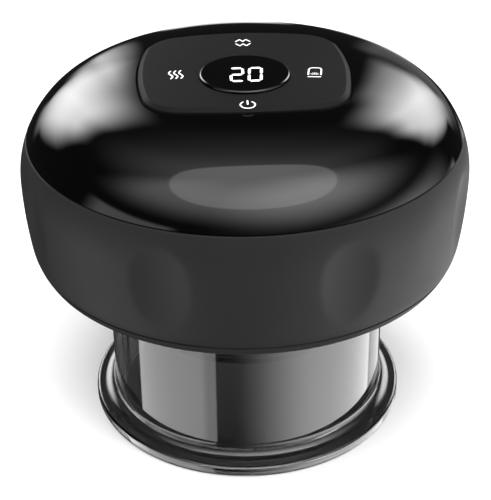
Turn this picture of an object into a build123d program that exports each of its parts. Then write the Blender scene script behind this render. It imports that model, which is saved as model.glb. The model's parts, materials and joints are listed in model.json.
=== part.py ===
from build123d import *
import os
from math import asin, atan2, cos, degrees, radians, sin, sqrt

# Electric cupping massager: a domed head that pulls a vacuum in a clear cup below it.
# Millimetres. +Z is up, the origin is the centre of the cup's foot plane, -Y is the front.

# Cup
cup_wall_radius = 35.3
cup_wall = 2.2
foot_radius = 40.4
foot_height = 2.9
foot_edge_round = 0.8
foot_cove_radius = 3.1
mouth_round = 2.4
cup_shelf = 2.0
cup_shelf_bore = 29.6
cup_ring_inner = 30.2
cup_ring_outer = 34.8
cup_ring_height = 1.0

# Outer skin of the head, as tangent arcs from the crown down to the underside
head_radius = 55.0
head_lift = 44.5
dome_radius = 280.0
crown_radius = 85.0
crown_end_deg = 15.0
shoulder_radius = 18.9
shoulder_end_deg = 50.4
side_radius = 23.4
flank_radius = 115.0
flank_end_deg = 98.2
heel_radius = 12.2
heel_end_deg = 122.5
edge_radius = 2.0
seam_over_equator = 9.4
cap_wall = 2.2
housing_wall = 2.4
lip_wall = 1.2
lip_height = 2.6
lip_gap = 0.2
parting_groove = 0.5

# Finger dimples round the housing
dimple_count = 8
dimple_radius = 55.0
dimple_depth = 1.4
dimple_rise = 16.8

# Bottom cover with the boss that reaches into the cup
base_plate = 3.0
socket_gap = 0.5
hump_wall = 2.4
hump_rim = 2.4
boss_radius = 27.8
boss_wall = 1.8
boss_depth = 18.8
board_shelf = 1.6
board_shelf_height = 1.2
vent_count = 5
vent_radius = 0.8
vent_inset = 13.0
vent_pitch_deg = 5.0
seal_inner = 29.4
seal_height = 1.3
seal_gap = 0.4
magnet_count = 8
magnet_radius = 2.5
magnet_height = 2.0
pocket_gap = 0.05

# Boss face: rim, light ring, lamps, heater and air way
rim_height = 1.4
rim_overhang = 0.2
light_height = 2.9
light_wall = 3.2
led_board_height = 1.2
led_board_hole = 6.0
led_count = 12
led_ring_radius = 22.8
led_side = 2.0
led_height = 1.1
plate_radius = 20.0
plate_gap = 0.2
plate_height = 1.0
plate_flange = 1.4
plate_flange_height = 1.0
plate_crown = 0.3
film_height = 0.3
film_margin = 1.2
sensor_bead_radius = 0.7
sensor_bead_length = 2.4
sensor_bead_reach = 13.0
nozzle_radius = 2.8
nozzle_flange = 2.4
nozzle_flange_height = 1.2
nozzle_neck = 6.0
nozzle_gap = 0.1
filter_radius = 2.0
filter_height = 1.6

# Hoses and barbs
hose_radius = 2.1
hose_bore = 1.2
barb_radius = 1.15
barb_length = 4.0
barb_bore = 0.6
cross_inset = 24.4
cross_reach = 2.6
cross_chamber = 1.1
hose_bend = 4.6

# Screws through the three shells
post_inset = 9.5
post_angle_deg = 20.0
post_radius = 3.3
post_rib = 1.6
post_top_below_seam = 1.6
screw_hole = 1.65
screw_radius = 1.5
screw_head_radius = 2.7
screw_head_height = 1.7
screw_sink_depth = 0.3
screw_bite_depth = 5.0
screw_slot = 1.0

# Chassis that carries pump, battery, valve and boards
chassis_margin = 12.0
chassis_plate = 2.0
chassis_hole = 15.0
saddle_wall = 2.0
saddle_drop = 4.4
chassis_post_radius = 2.4
chassis_post_inset = 18.5
chassis_post_front = 20.5
chassis_post_back = 12.0
small_screw_radius = 0.9
small_screw_head = 1.8
small_screw_head_height = 1.0
small_screw_length = 4.0
chassis_screw_inset = 2.4
chassis_screw_count = 3
chassis_screw_turn_deg = 55.0
chassis_foot_radius = 2.2

# Vacuum pump: lengths are along its axis, from the motor's front face
pump_y = -11.0
pump_floor_gap = 0.7
motor_radius = 12.2
motor_length = 25.0
motor_wall = 0.8
motor_cap_height = 2.0
motor_hub_radius = 4.6
motor_hub_height = 1.4
magnet_wall = 2.4
magnet_span_deg = 130.0
armature_radius = 8.4
armature_length = 13.0
armature_slot = 2.0
armature_hub = 3.4
winding_wall = 2.2
commutator_radius = 2.6
commutator_length = 3.4
shaft_radius = 0.9
shaft_gap = 0.03
bush_radius = 2.4
bush_length = 2.2
pump_radius = 13.0
pump_wall = 1.5
pump_body_length = 18.5
crank_gap = 2.0
crank_radius = 4.0
crank_end_gap = 4.6
shaft_end_gap = 0.4
wobble_tilt_deg = 8.0
wobble_centre_depth = 5.5
wobble_pin_radius = 0.7
wobble_pin_depth = 2.4
wobble_pin_gap = 0.04
wobble_hub_radius = 2.6
wobble_hub_length = 3.6
wobble_arm_reach = 8.0
wobble_arm_width = 3.6
wobble_arm_height = 1.4
wobble_button_radius = 1.6
wobble_button_height = 0.6
cylinder_count = 3
membrane_height = 0.8
membrane_cup_radius = 3.5
membrane_cup_depth = 2.6
membrane_wall = 0.7
valve_plate_height = 2.7
valve_port_radius = 0.7
chamber_depth = 0.9
flap_height = 0.5
flap_radius = 10.4
pump_head_height = 4.5
pump_head_wall = 1.6
pump_nozzle_radius = 1.9
pump_nozzle_length = 4.0
pump_screw_reach = 11.3
pump_screw_count = 3
window_width = 7.0
window_height = 6.0
window_gap = 3.0
sleeve_wall = 1.0
sleeve_length = 14.0
sleeve_gap = 5.5
strap_wall = 0.6
strap_width = 5.0

# Battery
battery_radius = 9.1
battery_end_gap = 6.95
battery_y = 17.2
battery_floor_gap = 1.0
tab_width = 5.0
tab_wall = 0.2
cradle_height = 7.0
cradle_wall = 1.5
battery_gap = 0.2

# Release valve: an upright solenoid that lets air back into the cup
valve_x = -2.0
valve_y = -34.0
yoke_width = 13.0
yoke_depth = 12.0
yoke_height = 13.0
yoke_wall = 1.2
coil_radius = 5.2
coil_gap = 0.2
bobbin_radius = 2.9
bobbin_flange_height = 0.8
plunger_radius = 2.0
plunger_gap = 0.08
plunger_depth = 8.0
plunger_head_radius = 3.4
plunger_head_height = 0.8
plunger_pad_radius = 1.6
plunger_pad_height = 0.8
spring_wire_radius = 0.2
spring_coil_radius = 2.8
spring_turns = 3
spring_height = 3.2
seat_height = 7.0
seat_depth = 9.0
seat_column = 3.0
seat_gap = 0.3

# Main board, charging socket and their parts
board_height = 1.2
board_inset = 16.0
board_half_y = 23.0
board_corner = 6.0
board_over_motor = 2.0
air_sensor_side = 6.0
air_sensor_height = 3.0
socket_z_over_lift = 17.5
socket_width = 9.0
socket_height = 3.2
socket_length = 7.4
socket_wall = 0.35
socket_tongue_width = 6.7
socket_tongue_height = 0.7
socket_inset = 0.9
socket_clearance = 0.25
charge_board_width = 16.0
charge_board_length = 13.5
charge_board_height = 1.0
pedestal_length = 5.0

# Touch panel, display and touch board
panel_half_x = 25.2
panel_half_y = 23.0
panel_corner = 9.5
panel_bow = 1.2
panel_lift = 0.7
panel_face_radius = 420.0
panel_seat = 0.8
panel_bevel = 0.7
panel_gap = 0.1
display_y = -4.8
display_radius = 10.7
display_rise = 0.35
display_edge_round = 0.5
display_glass = 1.5
display_gap = 0.1
digits_width = 16.0
digits_depth = 11.0
digits_corner = 0.8
touch_board_half_x = 24.0
touch_board_half_y = 21.0
touch_board_corner = 6.0
touch_board_height = 1.2
touch_board_drop = 4.0
touch_post_x = 20.0
touch_post_y = 17.0
touch_post_radius = 2.2
key_side_x = 16.2
key_side_y = 3.0
key_back_y = 14.0
key_front_y = 20.0
key_spring_radius = 2.4
key_spring_wire = 0.25
key_spring_turns = 3

overrun = 1.0
spring_seat = 0.15


# Skin of the head
# Each leg is an arc: its radius, and the directions of its outward normal at both ends,
# counted in degrees from straight up.
def dome_end_deg():
    shoulder_end = sin(radians(shoulder_end_deg))
    crown_end = sin(radians(crown_end_deg))
    reach = head_radius - side_radius * (1 - shoulder_end) - shoulder_radius * (shoulder_end - crown_end)
    return degrees(asin((reach - crown_radius * crown_end) / (dome_radius - crown_radius)))


def skin_legs():
    return [
        (dome_radius, 0, dome_end_deg()),
        (crown_radius, dome_end_deg(), crown_end_deg),
        (shoulder_radius, crown_end_deg, shoulder_end_deg),
        (side_radius, shoulder_end_deg, 90),
        (flank_radius, 90, flank_end_deg),
        (heel_radius, flank_end_deg, heel_end_deg),
        (edge_radius, heel_end_deg, 180),
    ]


def leg_drop(radius, start, end):
    return radius * (cos(radians(start)) - cos(radians(end)))


def leg_reach(radius, start, end):
    return radius * (sin(radians(end)) - sin(radians(start)))


head_top = head_lift + sum(leg_drop(*leg) for leg in skin_legs())
equator_z = head_top - sum(leg_drop(*leg) for leg in skin_legs()[:4])
seam_z = equator_z + seam_over_equator
base_line_z = head_lift + base_plate


def skin_radius(z, inset=0.0):
    """Radius of the skin at a height between the shoulder and the flank's end, moved in by inset."""
    rise = z - equator_z
    radius = side_radius if rise > 0 else flank_radius
    return head_radius - radius + sqrt((radius - inset) ** 2 - rise**2)


def dome_z(r, lift=0.0):
    """Height of the dome at a distance r from the axis, raised by lift."""
    return head_top - dome_radius + sqrt((dome_radius + lift) ** 2 - r**2)


def skin_solid(inset):
    """The head's skin as a solid of revolution, moved in by inset, open below when it is moved in."""
    legs = skin_legs() if inset == 0 else skin_legs()[:6]
    r, z = 0.0, head_top - inset
    edges = []
    for radius, start, end in legs:
        middle = (start + end) / 2
        points = []
        for angle in (start, middle, end):
            x = r + leg_reach(radius - inset, start, angle)
            points.append((x, 0, z - leg_drop(radius - inset, start, angle)))
        edges.append(ThreePointArc(*points))
        r, z = points[-1][0], points[-1][2]
    floor = head_lift if inset == 0 else head_lift - overrun
    if inset:
        edges.append(Line((r, 0, z), (r, 0, floor)))
    edges.append(Line((r, 0, floor), (0, 0, floor)))
    edges.append(Line((0, 0, floor), (0, 0, head_top - inset)))
    return revolve(make_face(edges), axis=Axis.Z)


# Plain shapes that many pieces share
def disc(radius, z_low, z_high, at=(0, 0)):
    return Pos(at[0], at[1], z_low) * Cylinder(
        radius, z_high - z_low, align=(Align.CENTER, Align.CENTER, Align.MIN)
    )


def ring(outer, inner, z_low, z_high, at=(0, 0)):
    return disc(outer, z_low, z_high, at) - disc(inner, z_low - overrun, z_high + overrun, at)


def block(x_low, x_high, y_low, y_high, z_low, z_high):
    return Pos(x_low, y_low, z_low) * Box(
        x_high - x_low,
        y_high - y_low,
        z_high - z_low,
        align=(Align.MIN, Align.MIN, Align.MIN),
    )


def polar(angle_deg, radius):
    return (radius * cos(radians(angle_deg)), radius * sin(radians(angle_deg)))


def bowed_outline(half_x, half_y, corner, bow):
    """A rounded rectangle whose four sides bow out by bow, made of eight tangent arcs."""
    cx = half_x - bow - corner
    cy = half_y - bow - corner

    def side_arc_radius(half, near, far):
        return ((near - half) ** 2 + far**2 - corner**2) / (2 * bow)

    radius_x = side_arc_radius(half_x, cx, cy)
    radius_y = side_arc_radius(half_y, cy, cx)
    lean_x = atan2(cy, cx - half_x + radius_x)
    lean_y = atan2(cx, cy - half_y + radius_y)
    side = (cx + corner * cos(lean_x), cy + corner * sin(lean_x))
    end = (cx + corner * sin(lean_y), cy + corner * cos(lean_y))
    middle = (lean_x + radians(90) - lean_y) / 2
    corner_point = (cx + corner * cos(middle), cy + corner * sin(middle))
    edges = []
    for sx, sy in ((1, 1), (-1, 1), (-1, -1), (1, -1)):
        points = [(sx * x, sy * y) for x, y in (side, corner_point, end)]
        edges.append(ThreePointArc(*points))
    for s in (1, -1):
        edges.append(ThreePointArc((s * side[0], -side[1]), (s * half_x, 0), (s * side[0], side[1])))
        edges.append(ThreePointArc((-end[0], s * end[1]), (0, s * half_y), (end[0], s * end[1])))
    return make_face(edges)


def prism(face, z_low, z_high):
    return Pos(0, 0, z_low) * extrude(face, z_high - z_low)


def rounded_plate(half_x, half_y, corner, z_low, z_high):
    return prism(RectangleRounded(2 * half_x, 2 * half_y, corner), z_low, z_high)


def join(pieces):
    """Separate solids of one node, kept apart in one compound."""
    return Compound(children=[s for p in pieces for s in p.solids()])


def tube_along(points, bends, radius, bore):
    """A hose: straight runs joined by tangent arcs, with its bore."""
    path = FilletPolyline(*points, radius=bends) if bends else Line(*points)
    start = Plane(origin=path @ 0, z_dir=path % 0)
    return sweep(start * (Circle(radius) - Circle(bore)), path)


# Reaches that follow the head's radius
post_ring_radius = head_radius - post_inset
chassis_radius = head_radius - chassis_margin
chassis_post_reach = head_radius - chassis_post_inset
chassis_screw_ring_radius = chassis_radius - chassis_screw_inset
vent_ring_radius = head_radius - vent_inset
board_half_x = head_radius - board_inset
battery_length = 2 * (post_ring_radius * cos(radians(post_angle_deg)) - post_radius - battery_end_gap)

# Places along the pump's axis, from the motor's front face, and then the face's own place
membrane_end = pump_body_length + membrane_height
valve_plate_end = membrane_end + valve_plate_height
flap_end = valve_plate_end + flap_height
pump_head_end = flap_end + pump_head_height
pump_nozzle_end = pump_head_end + pump_nozzle_length
cross_x = head_radius - cross_inset
pump_face_x = cross_x - cross_reach - pump_nozzle_end
wobble_centre = pump_body_length - wobble_centre_depth
wobble_pin_length = crank_end_gap + wobble_pin_depth
crank_length = wobble_centre - crank_end_gap - crank_gap
shaft_end = wobble_centre - wobble_pin_length - shaft_end_gap

# Heights that stack up from the foot plane
seal_low = base_line_z - seal_height
cup_ring_low = seal_low - cup_ring_height
cup_top = cup_ring_low
hump_top = base_line_z + hump_wall
rim_low = head_lift - boss_depth
light_low = rim_low + rim_height
led_board_low = light_low + light_height
chassis_low = hump_top
chassis_top = chassis_low + chassis_plate
pump_z = chassis_top + pump_floor_gap + pump_radius
battery_z = chassis_top + battery_floor_gap + battery_radius
board_low = pump_z + motor_radius + board_over_motor
board_top = board_low + board_height
post_top = seam_z - post_top_below_seam
socket_radius = cup_wall_radius + socket_gap
hump_radius = socket_radius + hump_rim
touch_board_low = head_top - cap_wall - touch_board_drop - touch_board_height
touch_board_top = touch_board_low + touch_board_height
post_places = [
    polar(angle, post_ring_radius)
    for side in (0, 180)
    for angle in (side - post_angle_deg, side + post_angle_deg)
]
chassis_post_places = [
    (side * chassis_post_reach, y) for side in (-1, 1) for y in (-chassis_post_front, chassis_post_back)
]
key_places = [
    (-key_side_x, -key_side_y),
    (key_side_x, -key_side_y),
    (0, key_back_y),
    (0, -key_front_y),
]
touch_post_places = [(x, y) for x in (-touch_post_x, touch_post_x) for y in (-touch_post_y, touch_post_y)]


# Cup
def cup():
    cove_end = cup_wall_radius + foot_cove_radius
    inner = cup_wall_radius - cup_wall
    foot_top = foot_height
    cove_top = foot_top + foot_cove_radius
    slant = 1 - sin(radians(45))
    edges = [
        Line((inner + mouth_round, 0, 0), (foot_radius - foot_edge_round, 0, 0)),
        ThreePointArc(
            (foot_radius - foot_edge_round, 0, 0),
            (foot_radius - foot_edge_round * slant, 0, foot_edge_round * slant),
            (foot_radius, 0, foot_edge_round),
        ),
        Line((foot_radius, 0, foot_edge_round), (foot_radius, 0, foot_top - foot_edge_round)),
        ThreePointArc(
            (foot_radius, 0, foot_top - foot_edge_round),
            (foot_radius - foot_edge_round * slant, 0, foot_top - foot_edge_round * slant),
            (foot_radius - foot_edge_round, 0, foot_top),
        ),
        Line((foot_radius - foot_edge_round, 0, foot_top), (cove_end, 0, foot_top)),
        ThreePointArc(
            (cove_end, 0, foot_top),
            (cup_wall_radius + foot_cove_radius * slant, 0, foot_top + foot_cove_radius * slant),
            (cup_wall_radius, 0, cove_top),
        ),
        Line((cup_wall_radius, 0, cove_top), (cup_wall_radius, 0, cup_top)),
        Line((cup_wall_radius, 0, cup_top), (cup_shelf_bore, 0, cup_top)),
        Line((cup_shelf_bore, 0, cup_top), (cup_shelf_bore, 0, cup_top - cup_shelf)),
        Line((cup_shelf_bore, 0, cup_top - cup_shelf), (inner, 0, cup_top - cup_shelf)),
        Line((inner, 0, cup_top - cup_shelf), (inner, 0, mouth_round)),
        ThreePointArc(
            (inner, 0, mouth_round),
            (inner + mouth_round * slant, 0, mouth_round * slant),
            (inner + mouth_round, 0, 0),
        ),
    ]
    return revolve(make_face(edges), axis=Axis.Z)


def cup_ring():
    return ring(cup_ring_outer, cup_ring_inner, cup_ring_low, seal_low)


# Shells of the head
def grooved_skin():
    """The outer skin with its two parting grooves."""
    skin = skin_solid(0)
    for z in (seam_z, base_line_z):
        r = skin_radius(z) if z > base_line_z else base_line_radius()
        groove = Pos(r, 0, z) * Rot(0, 45, 0) * Rot(90, 0, 0) * Rectangle(parting_groove, parting_groove)
        skin -= revolve(groove, axis=Axis.Z)
    return skin


def base_line_radius():
    """Radius of the skin at the line between housing and bottom cover, which lies on the heel's arc."""
    r = head_radius + leg_reach(flank_radius, 90, flank_end_deg)
    z = equator_z - leg_drop(flank_radius, 90, flank_end_deg)
    centre_r = r - heel_radius * sin(radians(flank_end_deg))
    centre_z = z - heel_radius * cos(radians(flank_end_deg))
    return centre_r + sqrt(heel_radius**2 - (base_line_z - centre_z) ** 2)


def dimple_cutter(index):
    angle = 360 / dimple_count * (index + 0.5)
    z = base_line_z + dimple_rise
    centre = skin_radius(z) - dimple_depth + dimple_radius
    return Rot(0, 0, angle) * Pos(centre, 0, z) * Sphere(dimple_radius)


def top_cover():
    skin = grooved_skin()
    above = disc(head_radius + overrun, seam_z, head_top + overrun)
    shell = (skin & above) - skin_solid(cap_wall)
    lip_radius = skin_radius(seam_z, housing_wall) - lip_gap
    lip = ring(lip_radius, lip_radius - lip_wall, seam_z - lip_height, seam_z + lip_height)
    posts = [disc(post_radius, post_top, head_top, place) for place in post_places]
    inside = skin_solid(cap_wall / 2)
    shell += (lip & inside) + [post & inside for post in posts]
    for place in post_places:
        shell -= disc(screw_radius, post_top - overrun, post_top + screw_bite_depth + overrun, place)
    seat = bowed_outline(
        panel_half_x + panel_gap, panel_half_y + panel_gap, panel_corner + panel_gap, panel_bow
    )
    seat = prism(seat, seam_z, head_top + overrun) - skin_solid(panel_seat)
    for place in touch_post_places:
        shell += disc(touch_post_radius, touch_board_top, head_top, place) & inside
    for place in touch_post_places:
        shell -= disc(small_screw_radius, touch_board_low, touch_board_low + small_screw_length, place)
    shell -= seat
    return shell - disc(display_radius + display_gap, seam_z, head_top + overrun, (0, display_y))


def touch_panel():
    face = bowed_outline(panel_half_x, panel_half_y, panel_corner, panel_bow)
    centre_z = head_top + panel_lift - panel_face_radius
    crown = Pos(0, 0, centre_z) * Sphere(panel_face_radius)
    body = prism(face, seam_z, head_top + overrun) & crown
    top_edges = body.faces().sort_by(Axis.Z)[-1].edges()
    body = chamfer(top_edges, panel_bevel)
    body -= skin_solid(panel_seat)
    return body - disc(display_radius + display_gap, seam_z, head_top + overrun, (0, display_y))


def panel_face_z(y):
    return head_top + panel_lift - panel_face_radius + sqrt(panel_face_radius**2 - y**2)


display_top = panel_face_z(display_y) + display_rise
display_low = display_top - display_rise - display_glass


def display_window():
    glass = disc(display_radius, display_low, display_top, (0, display_y))
    return fillet(glass.edges().sort_by(Axis.Z)[-1], display_edge_round)


def digits_module():
    module = rounded_plate(
        digits_width / 2, digits_depth / 2, digits_corner, touch_board_top, display_low
    )
    return Pos(0, display_y, 0) * module


def lower_housing():
    skin = grooved_skin()
    for index in range(dimple_count):
        skin -= dimple_cutter(index)
    wall = skin & disc(head_radius + overrun, base_line_z, seam_z)
    inner = skin_solid(housing_wall)
    shell = wall - inner
    inside = skin_solid(housing_wall / 2)
    for x, y in post_places:
        angle = degrees(atan2(y, x))
        post = disc(post_radius, base_line_z, post_top, (x, y))
        rib = Rot(0, 0, angle) * block(
            post_ring_radius, head_radius, -post_rib / 2, post_rib / 2, base_line_z, post_top
        )
        shell += (post + rib) & inside
    for place in post_places:
        shell -= disc(screw_hole, base_line_z - overrun, post_top + overrun, place)
    lip_radius = skin_radius(seam_z, housing_wall) - lip_gap
    clear = ring(head_radius, lip_radius - lip_wall - lip_gap, base_line_z - overrun, seam_z)
    low_lip = ring(
        base_lip_radius() + lip_gap,
        base_lip_radius() - lip_wall - lip_gap,
        base_line_z - overrun,
        base_line_z + lip_height + lip_gap,
    )
    high_lip = (clear & disc(head_radius, seam_z - lip_height - lip_gap, seam_z)) & inner
    shell -= high_lip + low_lip
    opening = SlotOverall(
        socket_width + 2 * socket_clearance, socket_height + 2 * socket_clearance
    )
    mouth = Plane(origin=(0, head_radius + overrun, socket_z), x_dir=(-1, 0, 0), z_dir=(0, 1, 0))
    return shell - extrude(mouth * opening, -(2 * housing_wall + overrun))


socket_z = head_lift + socket_z_over_lift


def base_lip_radius():
    """Outer radius of the bottom cover's lip, which stands inside the housing's wall."""
    return base_line_radius() - housing_wall - lip_gap


def bottom_cover():
    skin = grooved_skin()
    plate = skin & disc(head_radius + overrun, head_lift - overrun, base_line_z)
    plate += disc(hump_radius, base_line_z - overrun, hump_top)
    lip = base_lip_radius()
    plate += ring(lip, lip - lip_wall, base_line_z - overrun, base_line_z + lip_height)
    plate -= disc(socket_radius, head_lift - overrun, base_line_z)
    boss = disc(boss_radius, led_board_low, base_line_z + overrun)
    plate += boss
    bore = boss_radius - boss_wall
    shelf_high = led_board_low + led_board_height + board_shelf_height
    plate -= disc(bore - board_shelf, led_board_low - overrun, hump_top + overrun)
    plate -= disc(bore, led_board_low - overrun, led_board_low + led_board_height)
    plate -= disc(bore, shelf_high, hump_top + overrun)
    for index in range(magnet_count):
        place = polar(360 / magnet_count * (index + 0.5), magnet_ring)
        plate -= disc(
            magnet_radius + pocket_gap, hump_top - magnet_height, hump_top + overrun, place
        )
    for place in post_places:
        plate -= disc(screw_hole, head_lift - overrun, hump_top, place)
        plate -= disc(
            screw_head_radius + pocket_gap, head_lift - overrun, head_lift + screw_pocket, place
        )
    for place in chassis_screw_places:
        plate += disc(chassis_foot_radius, base_line_z - overrun, chassis_low, place)
        plate -= disc(
            small_screw_radius, chassis_low - small_screw_bite, chassis_low + overrun, place
        )
    for index in range(vent_count):
        angle = 90 + (index - (vent_count - 1) / 2) * vent_pitch_deg
        place = polar(angle, vent_ring_radius)
        plate -= disc(vent_radius, head_lift - overrun, base_line_z + overrun, place)
    return plate


screw_pocket = screw_head_height + screw_sink_depth
small_screw_bite = small_screw_length - chassis_plate
magnet_ring = (socket_radius + boss_radius) / 2
chassis_screw_places = [
    polar(chassis_screw_turn_deg + 360 / chassis_screw_count * index, chassis_screw_ring_radius)
    for index in range(chassis_screw_count)
]


def cup_seal():
    return ring(socket_radius - seal_gap, seal_inner, seal_low, base_line_z)


def cup_magnets():
    return join(
        disc(
            magnet_radius,
            hump_top - magnet_height,
            hump_top,
            polar(360 / magnet_count * (index + 0.5), magnet_ring),
        )
        for index in range(magnet_count)
    )


# Face of the boss
def boss_rim():
    outer = boss_radius + rim_overhang
    return ring(outer, plate_radius + plate_gap, rim_low, light_low)


def light_ring():
    return ring(boss_radius, boss_radius - light_wall, light_low, led_board_low)


def led_board():
    bore = boss_radius - boss_wall - plate_gap
    return ring(bore, led_board_hole, led_board_low, led_board_low + led_board_height)


def red_lamps():
    lamp = block(
        -led_side / 2, led_side / 2, -led_side / 2, led_side / 2, led_board_low - led_height, led_board_low
    )
    return join(
        Rot(0, 0, 360 / led_count * index) * Pos(led_ring_radius, 0, 0) * lamp for index in range(led_count)
    )


def heating_plate():
    face = disc(plate_radius, light_low - plate_height, light_low)
    face = fillet(face.edges().sort_by(Axis.Z)[0], plate_crown)
    flange = disc(plate_radius + plate_flange, light_low, light_low + plate_flange_height)
    hole = nozzle_radius + nozzle_gap
    return face + flange - disc(hole, rim_low, light_low + plate_flange_height + overrun)


film_low = light_low + plate_flange_height
film_high = film_low + film_height


def heater():
    """Heater film on the plate, with the bead of its heat sensor on top."""
    film = ring(plate_radius - film_margin, nozzle_radius + nozzle_gap, film_low, film_high)
    bead = Pos(0, sensor_bead_reach, film_high + sensor_bead_radius) * Rot(0, 90, 0)
    return join([film, bead * Cylinder(sensor_bead_radius, sensor_bead_length)])


nozzle_low = light_low - plate_height
nozzle_high = film_high + nozzle_flange_height + nozzle_neck


def air_nozzle():
    body = disc(nozzle_radius, nozzle_low, film_high + nozzle_flange_height)
    body += disc(nozzle_radius + nozzle_flange, film_high, film_high + nozzle_flange_height)
    body += disc(barb_radius, nozzle_low + filter_height, nozzle_high)
    body -= disc(filter_radius, nozzle_low - overrun, nozzle_low + filter_height)
    return body - disc(barb_bore, nozzle_low, nozzle_high + overrun)


def air_filter():
    return disc(filter_radius - pocket_gap, nozzle_low, nozzle_low + filter_height)


# Chassis
def chassis():
    plate = ring(chassis_radius, chassis_hole, chassis_low, chassis_top)
    for place in post_places:
        plate -= disc(post_radius + lip_gap + post_rib, chassis_low - overrun, chassis_top + overrun, place)
    for place in chassis_post_places:
        plate += disc(chassis_post_radius, chassis_top - overrun, board_low, place)
        plate -= disc(
            small_screw_radius, board_low - small_screw_length, board_low + overrun, place
        )
    for place in chassis_screw_places:
        plate -= disc(small_screw_radius + pocket_gap, chassis_low - overrun, chassis_top + overrun, place)
    sleeve_radius = motor_radius + sleeve_wall
    for end in (sleeve_gap, sleeve_gap + sleeve_length - saddle_wall):
        x = pump_face_x - end - saddle_wall
        saddle = block(
            x, x + saddle_wall, pump_y - sleeve_radius - saddle_wall,
            pump_y + sleeve_radius, chassis_top - overrun, pump_z - saddle_drop,
        )
        plate += saddle - along_pump(Cylinder(sleeve_radius, 4 * battery_length))
    for side in (-1, 1):
        x = side * (battery_length / 2 - cradle_height) - saddle_wall / 2
        wall = battery_radius + battery_gap + cradle_wall
        cradle = block(
            x, x + saddle_wall, battery_y - wall, battery_y + wall,
            chassis_top - overrun, chassis_top + cradle_height,
        )
        plate += cradle - along_battery(Cylinder(battery_radius + battery_gap, 2 * battery_length))
    plate += block(
        -charge_board_width / 2, charge_board_width / 2,
        chassis_radius - pedestal_length - chassis_plate, chassis_radius - chassis_plate,
        chassis_top - overrun, charge_board_low,
    )
    return plate


charge_board_high = socket_z - socket_height / 2
charge_board_low = charge_board_high - charge_board_height


def along_pump(shape, offset=0.0):
    """Turns a shape built along Z so that it lies on the pump's axis, its origin at the offset."""
    return Pos(pump_face_x + offset, pump_y, pump_z) * Rot(0, 90, 0) * shape


def along_battery(shape):
    return Pos(0, battery_y, battery_z) * Rot(0, 90, 0) * shape


def small_screws():
    """The same short screw in the chassis feet, the board posts and the touch board's posts."""
    seats = [(place, chassis_top, 1) for place in chassis_screw_places]
    seats += [(place, board_top, 1) for place in chassis_post_places]
    seats += [(place, touch_board_low, -1) for place in touch_post_places]
    screws = []
    for (x, y), z, up in seats:
        shank = disc(small_screw_radius, -small_screw_length, 0)
        screw = shank + disc(small_screw_head, 0, small_screw_head_height)
        screws.append(Pos(x, y, z) * Rot(0 if up > 0 else 180, 0, 0) * screw)
    return join(screws)


def shell_screws():
    low = head_lift + screw_sink_depth
    screws = []
    for place in post_places:
        screw = disc(screw_radius, low, post_top + screw_bite_depth, place)
        head = disc(screw_head_radius, low, low + screw_head_height, place)
        slot = block(
            place[0] - screw_radius, place[0] + screw_radius,
            place[1] - screw_slot / 2, place[1] + screw_slot / 2,
            low - overrun, low + screw_slot,
        )
        screws.append(head + screw - slot)
    return join(screws)


# Vacuum pump
def pump_disc(radius, start, end):
    return along_pump(disc(radius, start, end))


def motor_can():
    can = pump_disc(motor_radius, -motor_length, 0)
    can -= pump_disc(motor_radius - motor_wall, -motor_length - overrun, -motor_wall)
    can += pump_disc(motor_hub_radius, 0, motor_hub_height)
    return can - pump_disc(bush_radius, -overrun - motor_wall, motor_hub_height + overrun)


def motor_cap():
    cap = pump_disc(motor_radius, -motor_length - motor_cap_height, -motor_length)
    cap += pump_disc(
        motor_hub_radius, -motor_length - motor_cap_height - motor_hub_height, -motor_length
    )
    return cap - pump_disc(
        bush_radius, -motor_length - motor_cap_height - motor_hub_height - overrun, overrun - motor_length
    )


def motor_bushes():
    hole = shaft_radius + shaft_gap
    front = along_pump(ring(bush_radius, hole, motor_hub_height - bush_length, motor_hub_height))
    back_start = -motor_length - motor_cap_height - motor_hub_height
    back = along_pump(ring(bush_radius, hole, back_start, back_start + bush_length))
    return join([front, back])


armature_start = -motor_length / 2 - armature_length / 2
armature_end = armature_start + armature_length


def motor_magnets():
    inner = motor_radius - motor_wall - magnet_wall
    full = ring(motor_radius - motor_wall, inner, armature_start, armature_end)
    half = magnet_span_deg / 2
    keep = Pos(0, 0, armature_start) * extrude(
        make_face(
            [
                Line((0, 0), polar(-half, 2 * motor_radius)),
                Line(polar(-half, 2 * motor_radius), polar(half, 2 * motor_radius)),
                Line(polar(half, 2 * motor_radius), (0, 0)),
            ]
        ),
        armature_length,
    )
    return join([along_pump(full & (Rot(0, 0, turn) * keep)) for turn in (0, 180)])


def armature():
    """Laminated core with three poles."""
    core = disc(armature_radius, armature_start, armature_end)
    for index in range(3):
        slot = block(
            armature_hub, 2 * armature_radius, -armature_slot / 2, armature_slot / 2,
            armature_start - overrun, armature_end + overrun,
        )
        core -= Rot(0, 0, 120 * index + 60) * slot
    return along_pump(core - disc(shaft_radius, armature_start - overrun, armature_end + overrun))


def windings():
    """One coil over each pole, seen at both ends of the core."""
    coils = []
    for start in (armature_start - winding_wall, armature_end):
        end_turns = ring(armature_radius - armature_slot / 2, armature_hub, start, start + winding_wall)
        for index in range(3):
            slot = block(0, 2 * armature_radius, -armature_slot / 2, armature_slot / 2,
                         start - overrun, start + winding_wall + overrun)
            end_turns -= Rot(0, 0, 120 * index + 60) * slot
        coils.append(along_pump(end_turns))
    return join(coils)


def commutator():
    end = armature_start - winding_wall
    return along_pump(ring(commutator_radius, shaft_radius, end - commutator_length, end))


def motor_shaft():
    return pump_disc(
        shaft_radius, -motor_length - motor_cap_height - motor_hub_height, shaft_end
    )


def wobble_axis(shape):
    """Places a shape built along Z, with its origin at the wobble centre, on the tilted pin axis."""
    return Pos(0, 0, wobble_centre) * Rot(0, -wobble_tilt_deg, 0) * shape


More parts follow.
